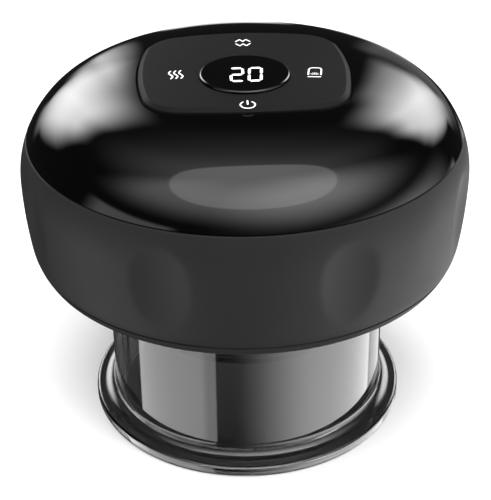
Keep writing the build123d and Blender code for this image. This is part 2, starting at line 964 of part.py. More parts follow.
def pump_crank():
    body = disc(crank_radius, crank_gap, crank_gap + crank_length)
    body -= disc(shaft_radius, crank_gap - overrun, shaft_end)
    hole = disc(wobble_pin_radius + wobble_pin_gap, -wobble_pin_length - spring_seat, 0)
    return along_pump(body - wobble_axis(hole))


def wobble_pin():
    pin = disc(wobble_pin_radius, -wobble_pin_length, 0)
    return along_pump(wobble_axis(pin))


def wobble_plate():
    low = -wobble_arm_height / 2
    high = wobble_arm_height / 2
    body = disc(wobble_hub_radius, -wobble_hub_length, high)
    for index in range(cylinder_count):
        arm = block(0, wobble_arm_reach, -wobble_arm_width / 2, wobble_arm_width / 2, low, high)
        arm += disc(wobble_arm_width / 2, low, high, (wobble_arm_reach, 0))
        arm += disc(wobble_button_radius, low, high + wobble_button_height, (wobble_arm_reach, 0))
        body += Rot(0, 0, 360 / cylinder_count * index) * arm
    body -= disc(wobble_pin_radius, -wobble_hub_length - overrun, 0)
    return along_pump(wobble_axis(body))


def pump_body():
    """Cup-shaped frame between motor and membrane, with windows that show the crank."""
    body = disc(pump_radius, 0, pump_body_length)
    body -= disc(pump_radius - pump_wall, pump_wall, pump_body_length + overrun)
    body -= disc(motor_hub_radius + pocket_gap, -overrun, pump_wall + overrun)
    for index in range(cylinder_count):
        window = block(
            0, 2 * pump_radius, -window_width / 2, window_width / 2,
            pump_wall + window_gap, pump_wall + window_gap + window_height,
        )
        body -= Rot(0, 0, 360 / cylinder_count * index + 60) * window
        lug = disc(pump_screw_boss, pump_body_length - screw_bite_depth, pump_body_length,
                   polar(360 / cylinder_count * index + 60, pump_screw_reach))
        body += lug & disc(pump_radius, 0, pump_body_length)
    for place in pump_screw_places:
        body -= disc(
            small_screw_radius, pump_body_length - screw_bite_depth, pump_body_length + overrun, place
        )
    return along_pump(body)


pump_screw_boss = small_screw_radius + pump_wall / 2
pump_screw_places = [
    polar(360 / pump_screw_count * index + 60, pump_screw_reach) for index in range(pump_screw_count)
]


def drill_pump_screws(body, start, end):
    for place in pump_screw_places:
        body -= disc(small_screw_radius + pocket_gap, start - overrun, end + overrun, place)
    return body


def membrane():
    """Rubber sheet with one cup for each arm of the wobble plate."""
    sheet = disc(pump_radius, pump_body_length, membrane_end)
    for index in range(cylinder_count):
        place = polar(360 / cylinder_count * index, wobble_arm_reach)
        low = pump_body_length - membrane_cup_depth
        sheet += disc(membrane_cup_radius, low, membrane_end, place)
        sheet -= disc(
            membrane_cup_radius - membrane_wall, low + membrane_wall, membrane_end + overrun, place
        )
    return along_pump(drill_pump_screws(sheet, pump_body_length, membrane_end))


def valve_plate():
    plate = disc(pump_radius, membrane_end, valve_plate_end)
    for index in range(cylinder_count):
        angle = 360 / cylinder_count * index
        place = polar(angle, wobble_arm_reach)
        plate -= disc(
            membrane_cup_radius - membrane_wall, membrane_end - overrun, membrane_end + chamber_depth, place
        )
        for reach in (wobble_arm_reach - valve_port_radius * 2, wobble_arm_reach + valve_port_radius * 2):
            plate -= disc(valve_port_radius, membrane_end, valve_plate_end + overrun, polar(angle, reach))
    return along_pump(drill_pump_screws(plate, membrane_end, valve_plate_end))


def valve_flaps():
    flaps = ring(flap_radius, small_screw_radius, valve_plate_end, flap_end)
    for place in pump_screw_places:
        flaps -= disc(pump_screw_boss, valve_plate_end - overrun, flap_end + overrun, place)
    return along_pump(flaps)


def pump_head():
    head = disc(pump_radius, valve_plate_end, pump_head_end)
    head -= disc(flap_radius + pocket_gap, valve_plate_end - overrun, flap_end)
    head -= disc(flap_radius - pump_head_wall, flap_end - overrun, pump_head_end - pump_head_wall)
    for place in pump_screw_places:
        head += disc(pump_screw_boss, valve_plate_end, pump_head_end, place)
    head += disc(pump_nozzle_radius, pump_head_end - overrun, pump_nozzle_end)
    head -= disc(barb_radius, flap_end, pump_nozzle_end + overrun)
    return along_pump(drill_pump_screws(head, valve_plate_end, pump_head_end))


def pump_screws():
    length_start = pump_body_length - screw_bite_depth
    return join(
        along_pump(
            disc(small_screw_radius, length_start, pump_head_end, place)
            + disc(small_screw_head, pump_head_end, pump_head_end + small_screw_head_height, place)
        )
        for place in pump_screw_places
    )


def pump_sleeve():
    start = -sleeve_gap - sleeve_length
    return along_pump(ring(motor_radius + sleeve_wall, motor_radius, start, -sleeve_gap))


def pump_strap():
    """Steel strap over the sleeve, with a foot on the chassis each side."""
    outer = motor_radius + sleeve_wall + strap_wall
    middle = pump_face_x - sleeve_gap - sleeve_length / 2
    x_low = middle - strap_width / 2
    x_high = middle + strap_width / 2
    hoop = along_pump(Pos(0, 0, -sleeve_gap - sleeve_length / 2) * Cylinder(outer, strap_width))
    hoop += block(x_low, x_high, pump_y - outer, pump_y + outer, chassis_top, pump_z)
    hoop -= along_pump(Pos(0, 0, -motor_length / 2) * Cylinder(outer - strap_wall, 2 * motor_length))
    hoop -= block(
        x_low - overrun, x_high + overrun,
        pump_y - outer + strap_wall, pump_y + outer - strap_wall,
        chassis_top - overrun, pump_z,
    )
    for side in (-1, 1):
        y = pump_y + side * outer
        foot = block(
            x_low, x_high, min(y, y - side * strap_wall), max(y, y - side * strap_wall),
            chassis_top, chassis_top + strap_wall,
        )
        hoop += foot
    return hoop


# Battery
def battery_cell():
    return along_battery(Cylinder(battery_radius, battery_length))


def battery_tabs():
    tabs = []
    for side in (-1, 1):
        x = side * (battery_length / 2 + tab_wall / 2)
        tabs.append(
            Pos(x, battery_y, battery_z) * Box(tab_wall, tab_width, battery_radius + tab_width)
        )
    return join(tabs)


# Release valve
yoke_top = chassis_top + yoke_height
spring_top = yoke_top + spring_height
plunger_top = spring_top + plunger_head_height
seat_low = plunger_top + plunger_pad_height
seat_top = seat_low + seat_height
valve_barb_z = (seat_low + seat_top) / 2
valve_place = (valve_x, valve_y)


def valve_block(width, depth, z_low, z_high):
    return block(
        valve_x - width / 2, valve_x + width / 2, valve_y - depth / 2, valve_y + depth / 2, z_low, z_high
    )


def valve_yoke():
    yoke = valve_block(yoke_width, yoke_depth, chassis_top, yoke_top)
    yoke -= valve_block(
        yoke_width - 2 * yoke_wall, 2 * yoke_depth, chassis_top + yoke_wall, yoke_top - yoke_wall
    )
    bore = plunger_radius + 2 * plunger_gap
    return yoke - disc(bore, yoke_top - 2 * yoke_wall, yoke_top + overrun, valve_place)


def valve_bobbin():
    low = chassis_top + yoke_wall
    high = yoke_top - yoke_wall
    body = disc(bobbin_radius, low, high, valve_place)
    body += disc(coil_radius, low, low + bobbin_flange_height, valve_place)
    body += disc(coil_radius, high - bobbin_flange_height, high, valve_place)
    return body - disc(plunger_radius + plunger_gap, low + bobbin_flange_height, high + overrun, valve_place)


def valve_coil():
    low = chassis_top + yoke_wall + bobbin_flange_height
    high = yoke_top - yoke_wall - bobbin_flange_height
    return ring(coil_radius - coil_gap, bobbin_radius, low, high, valve_place)


def valve_plunger():
    body = disc(plunger_radius, yoke_top - plunger_depth, spring_top, valve_place)
    return body + disc(plunger_head_radius, spring_top, plunger_top, valve_place)


def plunger_pad():
    return disc(plunger_pad_radius, plunger_top, seat_low, valve_place)


def coil_spring(coil, wire, height, turns, place, z_low):
    """A helical spring whose ends stop one wire inside the given height."""
    rise = height - 2 * wire
    helix = Helix(pitch=rise / turns, height=rise, radius=coil)
    start = Plane(origin=helix @ 0, z_dir=helix % 0)
    wire_solid = sweep(start * Circle(wire), helix, is_frenet=True)
    return Pos(place[0], place[1], z_low + wire) * wire_solid


def valve_spring():
    height = spring_height - spring_seat
    return coil_spring(
        spring_coil_radius, spring_wire_radius, height, spring_turns, valve_place, yoke_top
    )


def valve_seat():
    """Seat block over the plunger, on a column beside the yoke, with its barb to the right."""
    column_x = valve_x - yoke_width / 2 - seat_gap
    right_x = valve_x + plunger_head_radius
    low_y = valve_y - seat_depth / 2
    high_y = valve_y + seat_depth / 2
    body = block(column_x - seat_column, right_x, low_y, high_y, seat_low, seat_top)
    body += block(column_x - seat_column, column_x, low_y, high_y, chassis_top, seat_low)
    body += along_x(disc(barb_radius, 0, barb_length), right_x, valve_y, valve_barb_z)
    body -= along_x(
        disc(barb_bore, valve_x - right_x, barb_length + overrun), right_x, valve_y, valve_barb_z
    )
    return body - disc(barb_bore, seat_low - overrun, valve_barb_z, valve_place)


def along_x(shape, x, y, z):
    return Pos(x, y, z) * Rot(0, 90, 0) * shape


def along_y(shape, x, y, z):
    return Pos(x, y, z) * Rot(-90, 0, 0) * shape


# Air lines
hose_lane_y = pump_y + motor_radius + sleeve_wall + strap_wall + hose_radius + lip_gap


def air_cross():
    """Four-way fitting at the pump's nozzle: boss, release valve and pressure sensor."""
    at = Pos(cross_x, pump_y, pump_z)
    side = 2 * cross_reach
    barb_end = cross_reach + barb_length
    body = Box(side, side, side) - Sphere(cross_chamber)
    for turn in (Rot(90, 0, 0), Rot(-90, 0, 0), Rot(0, -90, 0), Rot(0, 0, 0)):
        radius = barb_radius
        end = barb_end
        if turn.orientation.Y:
            radius = barb_radius - pocket_gap
            end = cross_reach + pump_nozzle_length - pocket_gap
        if turn.orientation.length == 0:
            end = cross_reach + barb_length / 2
        body += turn * disc(radius, cross_reach, end)
        body -= turn * disc(barb_bore, cross_chamber / 2, end + overrun)
    return at * body


def boss_hose():
    start = (cross_x, pump_y + cross_reach, pump_z)
    points = [
        start,
        (cross_x, hose_lane_y, pump_z),
        (0, hose_lane_y, pump_z),
        (0, hose_lane_y, hump_top),
        (0, 0, head_lift - hose_radius),
        (0, 0, film_high + nozzle_flange_height),
    ]
    return tube_along(points, hose_bend, hose_radius, hose_bore)


def valve_hose():
    barb_x = valve_x + plunger_head_radius
    points = [
        (cross_x, pump_y - cross_reach, pump_z),
        (cross_x, valve_y, pump_z),
        (cross_x - 2 * hose_bend, valve_y, valve_barb_z),
        (barb_x, valve_y, valve_barb_z),
    ]
    return tube_along(points, hose_bend, hose_radius, hose_bore)


def sensor_hose():
    low = pump_z + cross_reach
    high = board_low - air_sensor_height
    return ring(hose_radius, hose_bore, low, high, (cross_x, pump_y))


def pressure_sensor():
    half = air_sensor_side / 2
    low = board_low - air_sensor_height
    body = block(cross_x - half, cross_x + half, pump_y - half, pump_y + half, low, board_low)
    body += disc(barb_radius, low - barb_length / 2, low, (cross_x, pump_y))
    return body - disc(barb_bore, low - barb_length, low + barb_bore, (cross_x, pump_y))


# Boards, socket and display
def main_board():
    board = rounded_plate(board_half_x, board_half_y, board_corner, board_low, board_top)
    for place in chassis_post_places:
        board -= disc(small_screw_radius + pocket_gap, board_low - overrun, board_top + overrun, place)
    return board


# Parts on the main board's underside, over the battery:
# place along the board, its width and its height, as shares of the board's half length
board_part_shares = [
    (-0.62, 0.20, 0.08),
    (-0.33, 0.14, 0.03),
    (-0.08, 0.14, 0.03),
    (0.20, 0.16, 0.10),
    (0.50, 0.20, 0.14),
]


def board_parts():
    parts = []
    for place, width, height in board_part_shares:
        half = width * board_half_x / 2
        x = place * board_half_x
        low = board_low - height * board_half_x
        parts.append(block(x - half, x + half, battery_y - half, battery_y + half, low, board_low))
    return join(parts)


def charging_board():
    half = charge_board_width / 2
    front = chassis_radius - chassis_plate - pedestal_length
    return block(-half, half, front, front + charge_board_length, charge_board_low, charge_board_high)


def charging_socket():
    """Steel shell of the socket with its tongue, open to the back."""
    mouth_y = skin_radius(socket_z) - socket_inset
    shell = SlotOverall(socket_width, socket_height)
    hollow = SlotOverall(socket_width - 2 * socket_wall, socket_height - 2 * socket_wall)
    tongue = Rectangle(socket_tongue_width, socket_tongue_height)
    at = Plane(origin=(0, mouth_y, socket_z), x_dir=(-1, 0, 0), z_dir=(0, 1, 0))
    body = extrude(at * shell, -socket_length)
    body -= extrude(at * hollow, -(socket_length - 2 * socket_wall))
    return body + extrude(at.offset(-socket_inset) * tongue, -(socket_length - socket_inset))


def touch_board():
    board = rounded_plate(
        touch_board_half_x, touch_board_half_y, touch_board_corner, touch_board_low, touch_board_top
    )
    for place in touch_post_places:
        board -= disc(
            small_screw_radius + pocket_gap, touch_board_low - overrun, touch_board_top + overrun, place
        )
    return board


def key_springs():
    springs = []
    for x, y in key_places:
        reach = sqrt(x**2 + y**2) + key_spring_radius + key_spring_wire
        height = dome_z(reach, -cap_wall) - touch_board_top - spring_seat
        springs.append(
            coil_spring(key_spring_radius, key_spring_wire, height, key_spring_turns, (x, y), touch_board_top)
        )
    return join(springs)


nodes = {
    "top_cover": top_cover,
    "touch_panel": touch_panel,
    "display_window": display_window,
    "digits_module": digits_module,
    "touch_board": touch_board,
    "key_springs": key_springs,
    "lower_housing": lower_housing,
    "bottom_cover": bottom_cover,
    "shell_screws": shell_screws,
    "small_screws": small_screws,
    "charging_socket": charging_socket,
    "charging_board": charging_board,
    "main_board": main_board,
    "board_parts": board_parts,
    "pressure_sensor": pressure_sensor,
    "chassis": chassis,
    "battery_cell": battery_cell,
    "battery_tabs": battery_tabs,
    "boss_rim": boss_rim,
    "light_ring": light_ring,
    "led_board": led_board,
    "red_lamps": red_lamps,
    "heating_plate": heating_plate,
    "heater": heater,
    "air_nozzle": air_nozzle,
    "air_filter": air_filter,
    "cup_seal": cup_seal,
    "cup_magnets": cup_magnets,
    "cup": cup,
    "cup_ring": cup_ring,
    "motor_can": motor_can,
    "motor_cap": motor_cap,
    "motor_bushes": motor_bushes,
    "motor_magnets": motor_magnets,
    "armature": armature,
    "windings": windings,
    "commutator": commutator,
    "motor_shaft": motor_shaft,
    "pump_crank": pump_crank,
    "wobble_pin": wobble_pin,
    "wobble_plate": wobble_plate,
    "pump_body": pump_body,
    "membrane": membrane,
    "valve_plate": valve_plate,
    "valve_flaps": valve_flaps,
    "pump_head": pump_head,
    "pump_screws": pump_screws,
    "pump_sleeve": pump_sleeve,
    "pump_strap": pump_strap,
    "valve_yoke": valve_yoke,
    "valve_bobbin": valve_bobbin,
    "valve_coil": valve_coil,
    "valve_plunger": valve_plunger,
    "plunger_pad": plunger_pad,
    "valve_spring": valve_spring,
    "valve_seat": valve_seat,
    "air_cross": air_cross,
    "boss_hose": boss_hose,
    "valve_hose": valve_hose,
    "sensor_hose": sensor_hose,
}

os.makedirs("parts", exist_ok=True)
for name, make in nodes.items():
    export_step(make(), f"parts/{name}.step")
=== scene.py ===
import json
from bisect import bisect
from math import asin, atan2, cos, degrees, hypot, pi, radians, sin, sqrt, tan

import bmesh
import bpy
from mathutils import Matrix, Vector


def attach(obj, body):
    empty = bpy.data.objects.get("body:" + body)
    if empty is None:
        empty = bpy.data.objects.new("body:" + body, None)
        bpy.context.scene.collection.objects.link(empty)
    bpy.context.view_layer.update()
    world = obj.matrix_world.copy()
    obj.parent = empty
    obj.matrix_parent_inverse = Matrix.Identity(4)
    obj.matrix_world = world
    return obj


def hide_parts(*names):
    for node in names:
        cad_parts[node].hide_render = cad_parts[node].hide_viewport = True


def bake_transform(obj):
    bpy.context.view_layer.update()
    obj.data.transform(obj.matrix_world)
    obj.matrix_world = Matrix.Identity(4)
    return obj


# Looks of the electric cupping massager. Lengths are in millimetres up to add_mesh, which makes metres,
# and in metres for the camera, the lamps and the materials.
# The head is a surface of revolution of tangent arcs, so the smooth pieces here follow the same arcs
# as the model that they replace.

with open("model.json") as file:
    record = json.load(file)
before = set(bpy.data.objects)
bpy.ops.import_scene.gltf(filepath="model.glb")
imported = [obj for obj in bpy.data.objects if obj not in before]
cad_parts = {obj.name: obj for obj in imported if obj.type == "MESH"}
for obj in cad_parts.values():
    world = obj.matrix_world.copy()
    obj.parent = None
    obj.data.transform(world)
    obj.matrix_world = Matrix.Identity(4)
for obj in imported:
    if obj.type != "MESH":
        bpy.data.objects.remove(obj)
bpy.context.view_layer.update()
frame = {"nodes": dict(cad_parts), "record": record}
nodes = frame["nodes"]
scene = bpy.context.scene

MM = 0.001
SHARP_ANGLE = 32
TURN_STEPS = 320
OUTLINE_STEPS = 480
DISC_STEPS = 20

head_radius = 55.0
head_lift = 44.5
seam_over_equator = 9.4
cap_wall = 2.2
housing_wall = 2.4
base_plate = 3.0
groove = 0.354
skin_arcs = [
    # radius, and the outward normal's angle from straight up at both ends
    (280.0, 0.0, None),
    (85.0, None, 15.0),
    (18.9, 15.0, 50.4),
    (23.4, 50.4, 90.0),
    (115.0, 90.0, 98.2),
    (12.2, 98.2, 122.5),
    (2.0, 122.5, 180.0),
]

boss_radius = 27.8
boss_wall = 1.8
boss_play = 0.2
socket_radius = 35.8
hump_radius = 38.2
hump_top = 49.9
led_board_low = 30.0
light_low = 27.1
light_width = 3.2
rim_low = 25.7
plate_radius = 20.0
plate_half = 1.0
plate_step = 1.4
nozzle_radius = 2.8
nozzle_play = 0.1
seal_in, seal_out, seal_low = 29.4, 35.4, 46.2
ring_in, ring_out = 30.2, 34.8
cup_top = 45.2
cup_wall_radius = 35.3
cup_wall = 2.2
cup_mouth_radius = 29.6
cup_flange = 2.0
foot_radius = 40.4
foot_top = 2.9

panel_half_x = 25.2
panel_half_y = 23.0
panel_corner = 9.5
panel_bow = 1.2
panel_lift = 0.7
panel_face_radius = 420.0
panel_bevel = 0.7
panel_depth = 1.6
panel_gap = 0.12
panel_seat = 0.8
seat_play = 0.1
recess_edge = 0.16
display_y = -4.8
display_radius = 10.7
display_gap = 0.12
display_rise = 0.35
display_depth = 1.85
display_crown = 0.02


# Arcs and profiles
def tangent_arcs():
    """The skin's arcs with the angle where dome and crown meet worked out."""
    crown_end, shoulder_end = (sin(radians(arc[2])) for arc in skin_arcs[1:3])
    shoulder_reach = skin_arcs[2][0] * (shoulder_end - crown_end)
    reach = head_radius - skin_arcs[3][0] * (1 - shoulder_end) - shoulder_reach
    meet = degrees(asin((reach - skin_arcs[1][0] * crown_end) / (skin_arcs[0][0] - skin_arcs[1][0])))
    arcs = [list(arc) for arc in skin_arcs]
    arcs[0][2] = meet
    arcs[1][1] = meet
    return arcs


def skin_drop(arcs):
    """How far down the skin comes over these arcs."""
    return sum(r * (cos(radians(a)) - cos(radians(b))) for r, a, b in arcs)


ARCS = tangent_arcs()
TOP_ARCS = ARCS[:4]
head_top = head_lift + skin_drop(ARCS)
equator_z = head_top - skin_drop(TOP_ARCS)
seam_z = equator_z + seam_over_equator
base_line_z = head_lift + base_plate


def skin_profile(inset=0.0, step=0.35):
    """Points (r, z) down the skin, moved in by inset, at about one point per step of arc."""
    r, z = 0.0, head_top - inset
    points = [(r, z)]
    for radius, start, end in ARCS:
        radius -= inset
        if radius <= 0:
            break
        count = max(4, int(radius * radians(end - start) / step))
        for k in range(1, count + 1):
            angle = radians(start + (end - start) * k / count)
            points.append(
                (
                    r + radius * (sin(angle) - sin(radians(start))),
                    z - radius * (cos(radians(start)) - cos(angle)),
                )
            )
        r, z = points[-1]
    return points


def between(profile, z_high, z_low):
    """The part of a falling profile between two heights, with exact ends."""
    kept = []
    for (r0, z0), (r1, z1) in zip(profile, profile[1:]):
        if z0 == z1:
            continue
        for z_cut in (z_high, z_low):
            if z0 > z_cut >= z1:
                share = (z0 - z_cut) / (z0 - z1)
                kept.append((r0 + (r1 - r0) * share, z_cut))
        if z_high > z1 > z_low:
            kept.append((r1, z1))
    return kept


def skin_slope(run):
    """The skin's fall from level, in radians, at a run along it from the top."""
    start_run = 0.0
    for radius, start, end in ARCS:
        length = radius * radians(end - start)
        if abs(run) <= start_run + length:
            break
        start_run += length
    slope = radians(start) + (abs(run) - start_run) / radius
    return slope if run >= 0 else -slope


def blended_skin(count=1600, blend=4.5):
    """Points (r, z) from the top to the equator, where each arc passes softly into the next."""
    total = sum(radius * radians(end - start) for radius, start, end in TOP_ARCS)
    step = total / count
    reach = int(blend / step)
    weights = [1 + cos(pi * k / reach) for k in range(-reach, reach + 1)]
    slopes = [skin_slope((k + 0.5) * step) for k in range(-reach, count + reach)]
    r, z = 0.0, 0.0
    points = [(r, z)]
    for k in range(count):
        near = slopes[k:k + 2 * reach + 1]
        slope = sum(w * a for w, a in zip(weights, near)) / sum(weights)
        r += step * cos(slope)
        z -= step * sin(slope)
        points.append((r, z))
    wide, high = head_radius / r, (head_top - equator_z) / -z
    return [(r * wide, head_top + z * high) for r, z in points]


BLENDED = blended_skin()
BLENDED_REACH = [r for r, z in BLENDED]
# Where the cap's rows round the panel pass into its turned rows
CROWN_END = 39.8


def dome_z(r):
    """Height of the cap's outside at a distance r from the axis."""
    k = min(max(bisect(BLENDED_REACH, r), 1), len(BLENDED) - 1)
    (r0, z0), (r1, z1) = BLENDED[k - 1], BLENDED[k]
    return z0 + (z1 - z0) * (r - r0) / (r1 - r0)


def rounded(corners, closed=True, steps=6):
    """Points round a polygon whose corners (r, z, fillet) are rounded by their fillets."""
    points = []
    count = len(corners)
    for i, (x, y, fillet) in enumerate(corners):
        inner = closed or 0 < i < count - 1
        if not fillet or not inner:
            points.append((x, y))
            continue
        corner = Vector((x, y))
        before = (Vector(corners[i - 1][:2]) - corner).normalized()
        after = (Vector(corners[(i + 1) % count][:2]) - corner).normalized()
        half = before.angle(after) / 2
        centre = corner + (before + after).normalized() * (fillet / sin(half))
        start = corner + before * (fillet / tan(half)) - centre
        end = corner + after * (fillet / tan(half)) - centre
        sweep = start.angle_signed(end)
        for k in range(steps + 1):
            angle = -sweep * k / steps
            points.append(
                (
                    centre.x + start.x * cos(angle) - start.y * sin(angle),
                    centre.y + start.x * sin(angle) + start.y * cos(angle),
                )
            )
    clean = []
    for point in points:
        if not clean or hypot(point[0] - clean[-1][0], point[1] - clean[-1][1]) > 1e-4:
            clean.append(point)
    return clean


# Meshes
def add_mesh(name, vertices, faces):
    mesh = bpy.data.meshes.new(name)
    mesh.from_pydata([[c * MM for c in vertex] for vertex in vertices], [], faces)
    work = bmesh.new()
    work.from_mesh(mesh)
    bmesh.ops.remove_doubles(work, verts=work.verts, dist=1e-7)
    bmesh.ops.recalc_face_normals(work, faces=work.faces)
    work.to_mesh(mesh)
    work.free()
    shade(mesh)
    piece = bpy.data.objects.new(name, mesh)
    scene.collection.objects.link(piece)
    return piece


def shade(mesh):
    """Smooth shading with edges kept sharp where the faces turn by more than SHARP_ANGLE."""
    mesh.polygons.foreach_set("use_smooth", [True] * len(mesh.polygons))
    mesh.set_sharp_from_angle(angle=radians(SHARP_ANGLE))


def grid_faces(rows, columns, close_rows):
    """Quads between rows of points, each row a closed ring."""
    faces = []
    for i in range(rows if close_rows else rows - 1):
        low, high = i * columns, ((i + 1) % rows) * columns
        for j in range(columns):
            k = (j + 1) % columns
            faces.append((low + j, low + k, high + k, high + j))
    return faces


def lathe(name, profile, closed=True, steps=TURN_STEPS, push=None, centre=(0, 0)):
    """Turns a profile round Z. push(angle, r, z) may move a point along its radius."""
    vertices = []
    for r, z in profile:
        for j in range(steps):
            angle = 2 * pi * j / steps
            reach = push(angle, r, z) if push else r
            vertices.append((centre[0] + reach * cos(angle), centre[1] + reach * sin(angle), z))
    return add_mesh(name, vertices, grid_faces(len(profile), steps, closed))


def cut(piece, cutters):
    """Takes the cutters out of a piece and removes them."""
    for cutter in cutters:
        modifier = piece.modifiers.new("cut", "BOOLEAN")
        modifier.operation = "DIFFERENCE"
        modifier.solver = "EXACT"
        modifier.object = cutter
    graph = bpy.context.evaluated_depsgraph_get()
    mesh = bpy.data.meshes.new_from_object(piece.evaluated_get(graph))
    piece.modifiers.clear()
    piece.data = mesh
    shade(mesh)
    for cutter in cutters:
        bpy.data.objects.remove(cutter)


def settle(piece, material, body, *replaced):
    """Gives a piece its material, its body and the solids that it stands for."""
    piece.data.materials.clear()
    piece.data.materials.append(material)
    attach(piece, body)
    if replaced:
        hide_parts(*replaced)
    return piece


# Materials
def new_material(name):
    material = bpy.data.materials.new(name)
    material.use_nodes = True
    tree = material.node_tree
    return material, tree, tree.nodes["Principled BSDF"]


def place_noise(tree, scale, detail, stretch=(1, 1, 1)):
    """Noise in object space, with scale in features per metre."""
    where = tree.nodes.new("ShaderNodeTexCoord")
    mapping = tree.nodes.new("ShaderNodeMapping")
    mapping.inputs["Scale"].default_value = stretch
    noise = tree.nodes.new("ShaderNodeTexNoise")
    noise.inputs["Scale"].default_value = scale
    noise.inputs["Detail"].default_value = detail
    tree.links.new(where.outputs["Object"], mapping.inputs["Vector"])
    tree.links.new(mapping.outputs["Vector"], noise.inputs["Vector"])
    return noise.outputs["Fac"]


def spread(tree, value, low, high):
    """Maps a noise value of about 0.3 to 0.7 onto low to high."""
    ramp = tree.nodes.new("ShaderNodeMapRange")
    ramp.inputs["From Min"].default_value = 0.3
    ramp.inputs["From Max"].default_value = 0.7
    ramp.inputs["To Min"].default_value = low
    ramp.inputs["To Max"].default_value = high
    tree.links.new(value, ramp.inputs["Value"])
    return ramp.outputs["Result"]


def tint(tree, value, dark, light):
    """A colour from dark to light as value goes from 0 to 1."""
    mix = tree.nodes.new("ShaderNodeMix")
    mix.data_type = "RGBA"
    mix.inputs["A"].default_value = (*dark, 1)
    mix.inputs["B"].default_value = (*light, 1)
    tree.links.new(value, mix.inputs["Factor"])
    return mix.outputs["Result"]


def bump(tree, shader, value, depth):
    node = tree.nodes.new("ShaderNodeBump")
    node.inputs["Distance"].default_value = depth
    tree.links.new(value, node.inputs["Height"])
    tree.links.new(node.outputs["Normal"], shader.inputs["Normal"])


def moulded(name, dark, light, rough, grain=2500.0, depth=0.00002, blotch=60.0, level=0.5):
    """Moulded, cast or rolled stuff: a fine grain as bump, and slow changes of tone and roughness."""
    material, tree, shader = new_material(name)
    slow = place_noise(tree, blotch, 3.0)
    fine = place_noise(tree, grain, 6.0)
    tree.links.new(tint(tree, spread(tree, slow, 0.0, 1.0), dark, light), shader.inputs["Base Color"])
    tree.links.new(spread(tree, slow, rough[0], rough[1]), shader.inputs["Roughness"])
    shader.inputs["Specular IOR Level"].default_value = level
    bump(tree, shader, fine, depth)
    return material


line_scale, line_depth = 900.0, 0.00001


def drawn_metal(name, dark, light, rough, stretch):
    """Metal with fine lines from drawing or turning."""
    material, tree, shader = new_material(name)
    lines = place_noise(tree, line_scale, 5.0, stretch)
    tree.links.new(tint(tree, spread(tree, lines, 0.0, 1.0), dark, light), shader.inputs["Base Color"])
    tree.links.new(spread(tree, lines, rough[0], rough[1]), shader.inputs["Roughness"])
    shader.inputs["Metallic"].default_value = 1.0
    bump(tree, shader, lines, line_depth)
    return material


def clear(name, color, rough, ior):
    """Tinted clear plastic, with slow changes of roughness."""
    material, tree, shader = new_material(name)
    slow = place_noise(tree, 45.0, 2.0)
    shader.inputs["Base Color"].default_value = (*color, 1)
    tree.links.new(spread(tree, slow, rough[0], rough[1]), shader.inputs["Roughness"])
    shader.inputs["Transmission Weight"].default_value = 1.0
    shader.inputs["IOR"].default_value = ior
    return material


def glowing(name, color, strength):
    """Lit or printed white: bright by its own colour, with a little emitted light. The lit digits really
    give light; on print, which gives none, this glow is painted light.
    """
    material, tree, shader = new_material(name)
    fine = place_noise(tree, 1500.0, 2.0)
    edge = [c * 0.96 for c in color]
    tree.links.new(tint(tree, spread(tree, fine, 0.0, 1.0), edge, color), shader.inputs["Base Color"])
    shader.inputs["Roughness"].default_value = 0.5
    shader.inputs["Emission Color"].default_value = (*color, 1)
    shader.inputs["Emission Strength"].default_value = strength
    return material


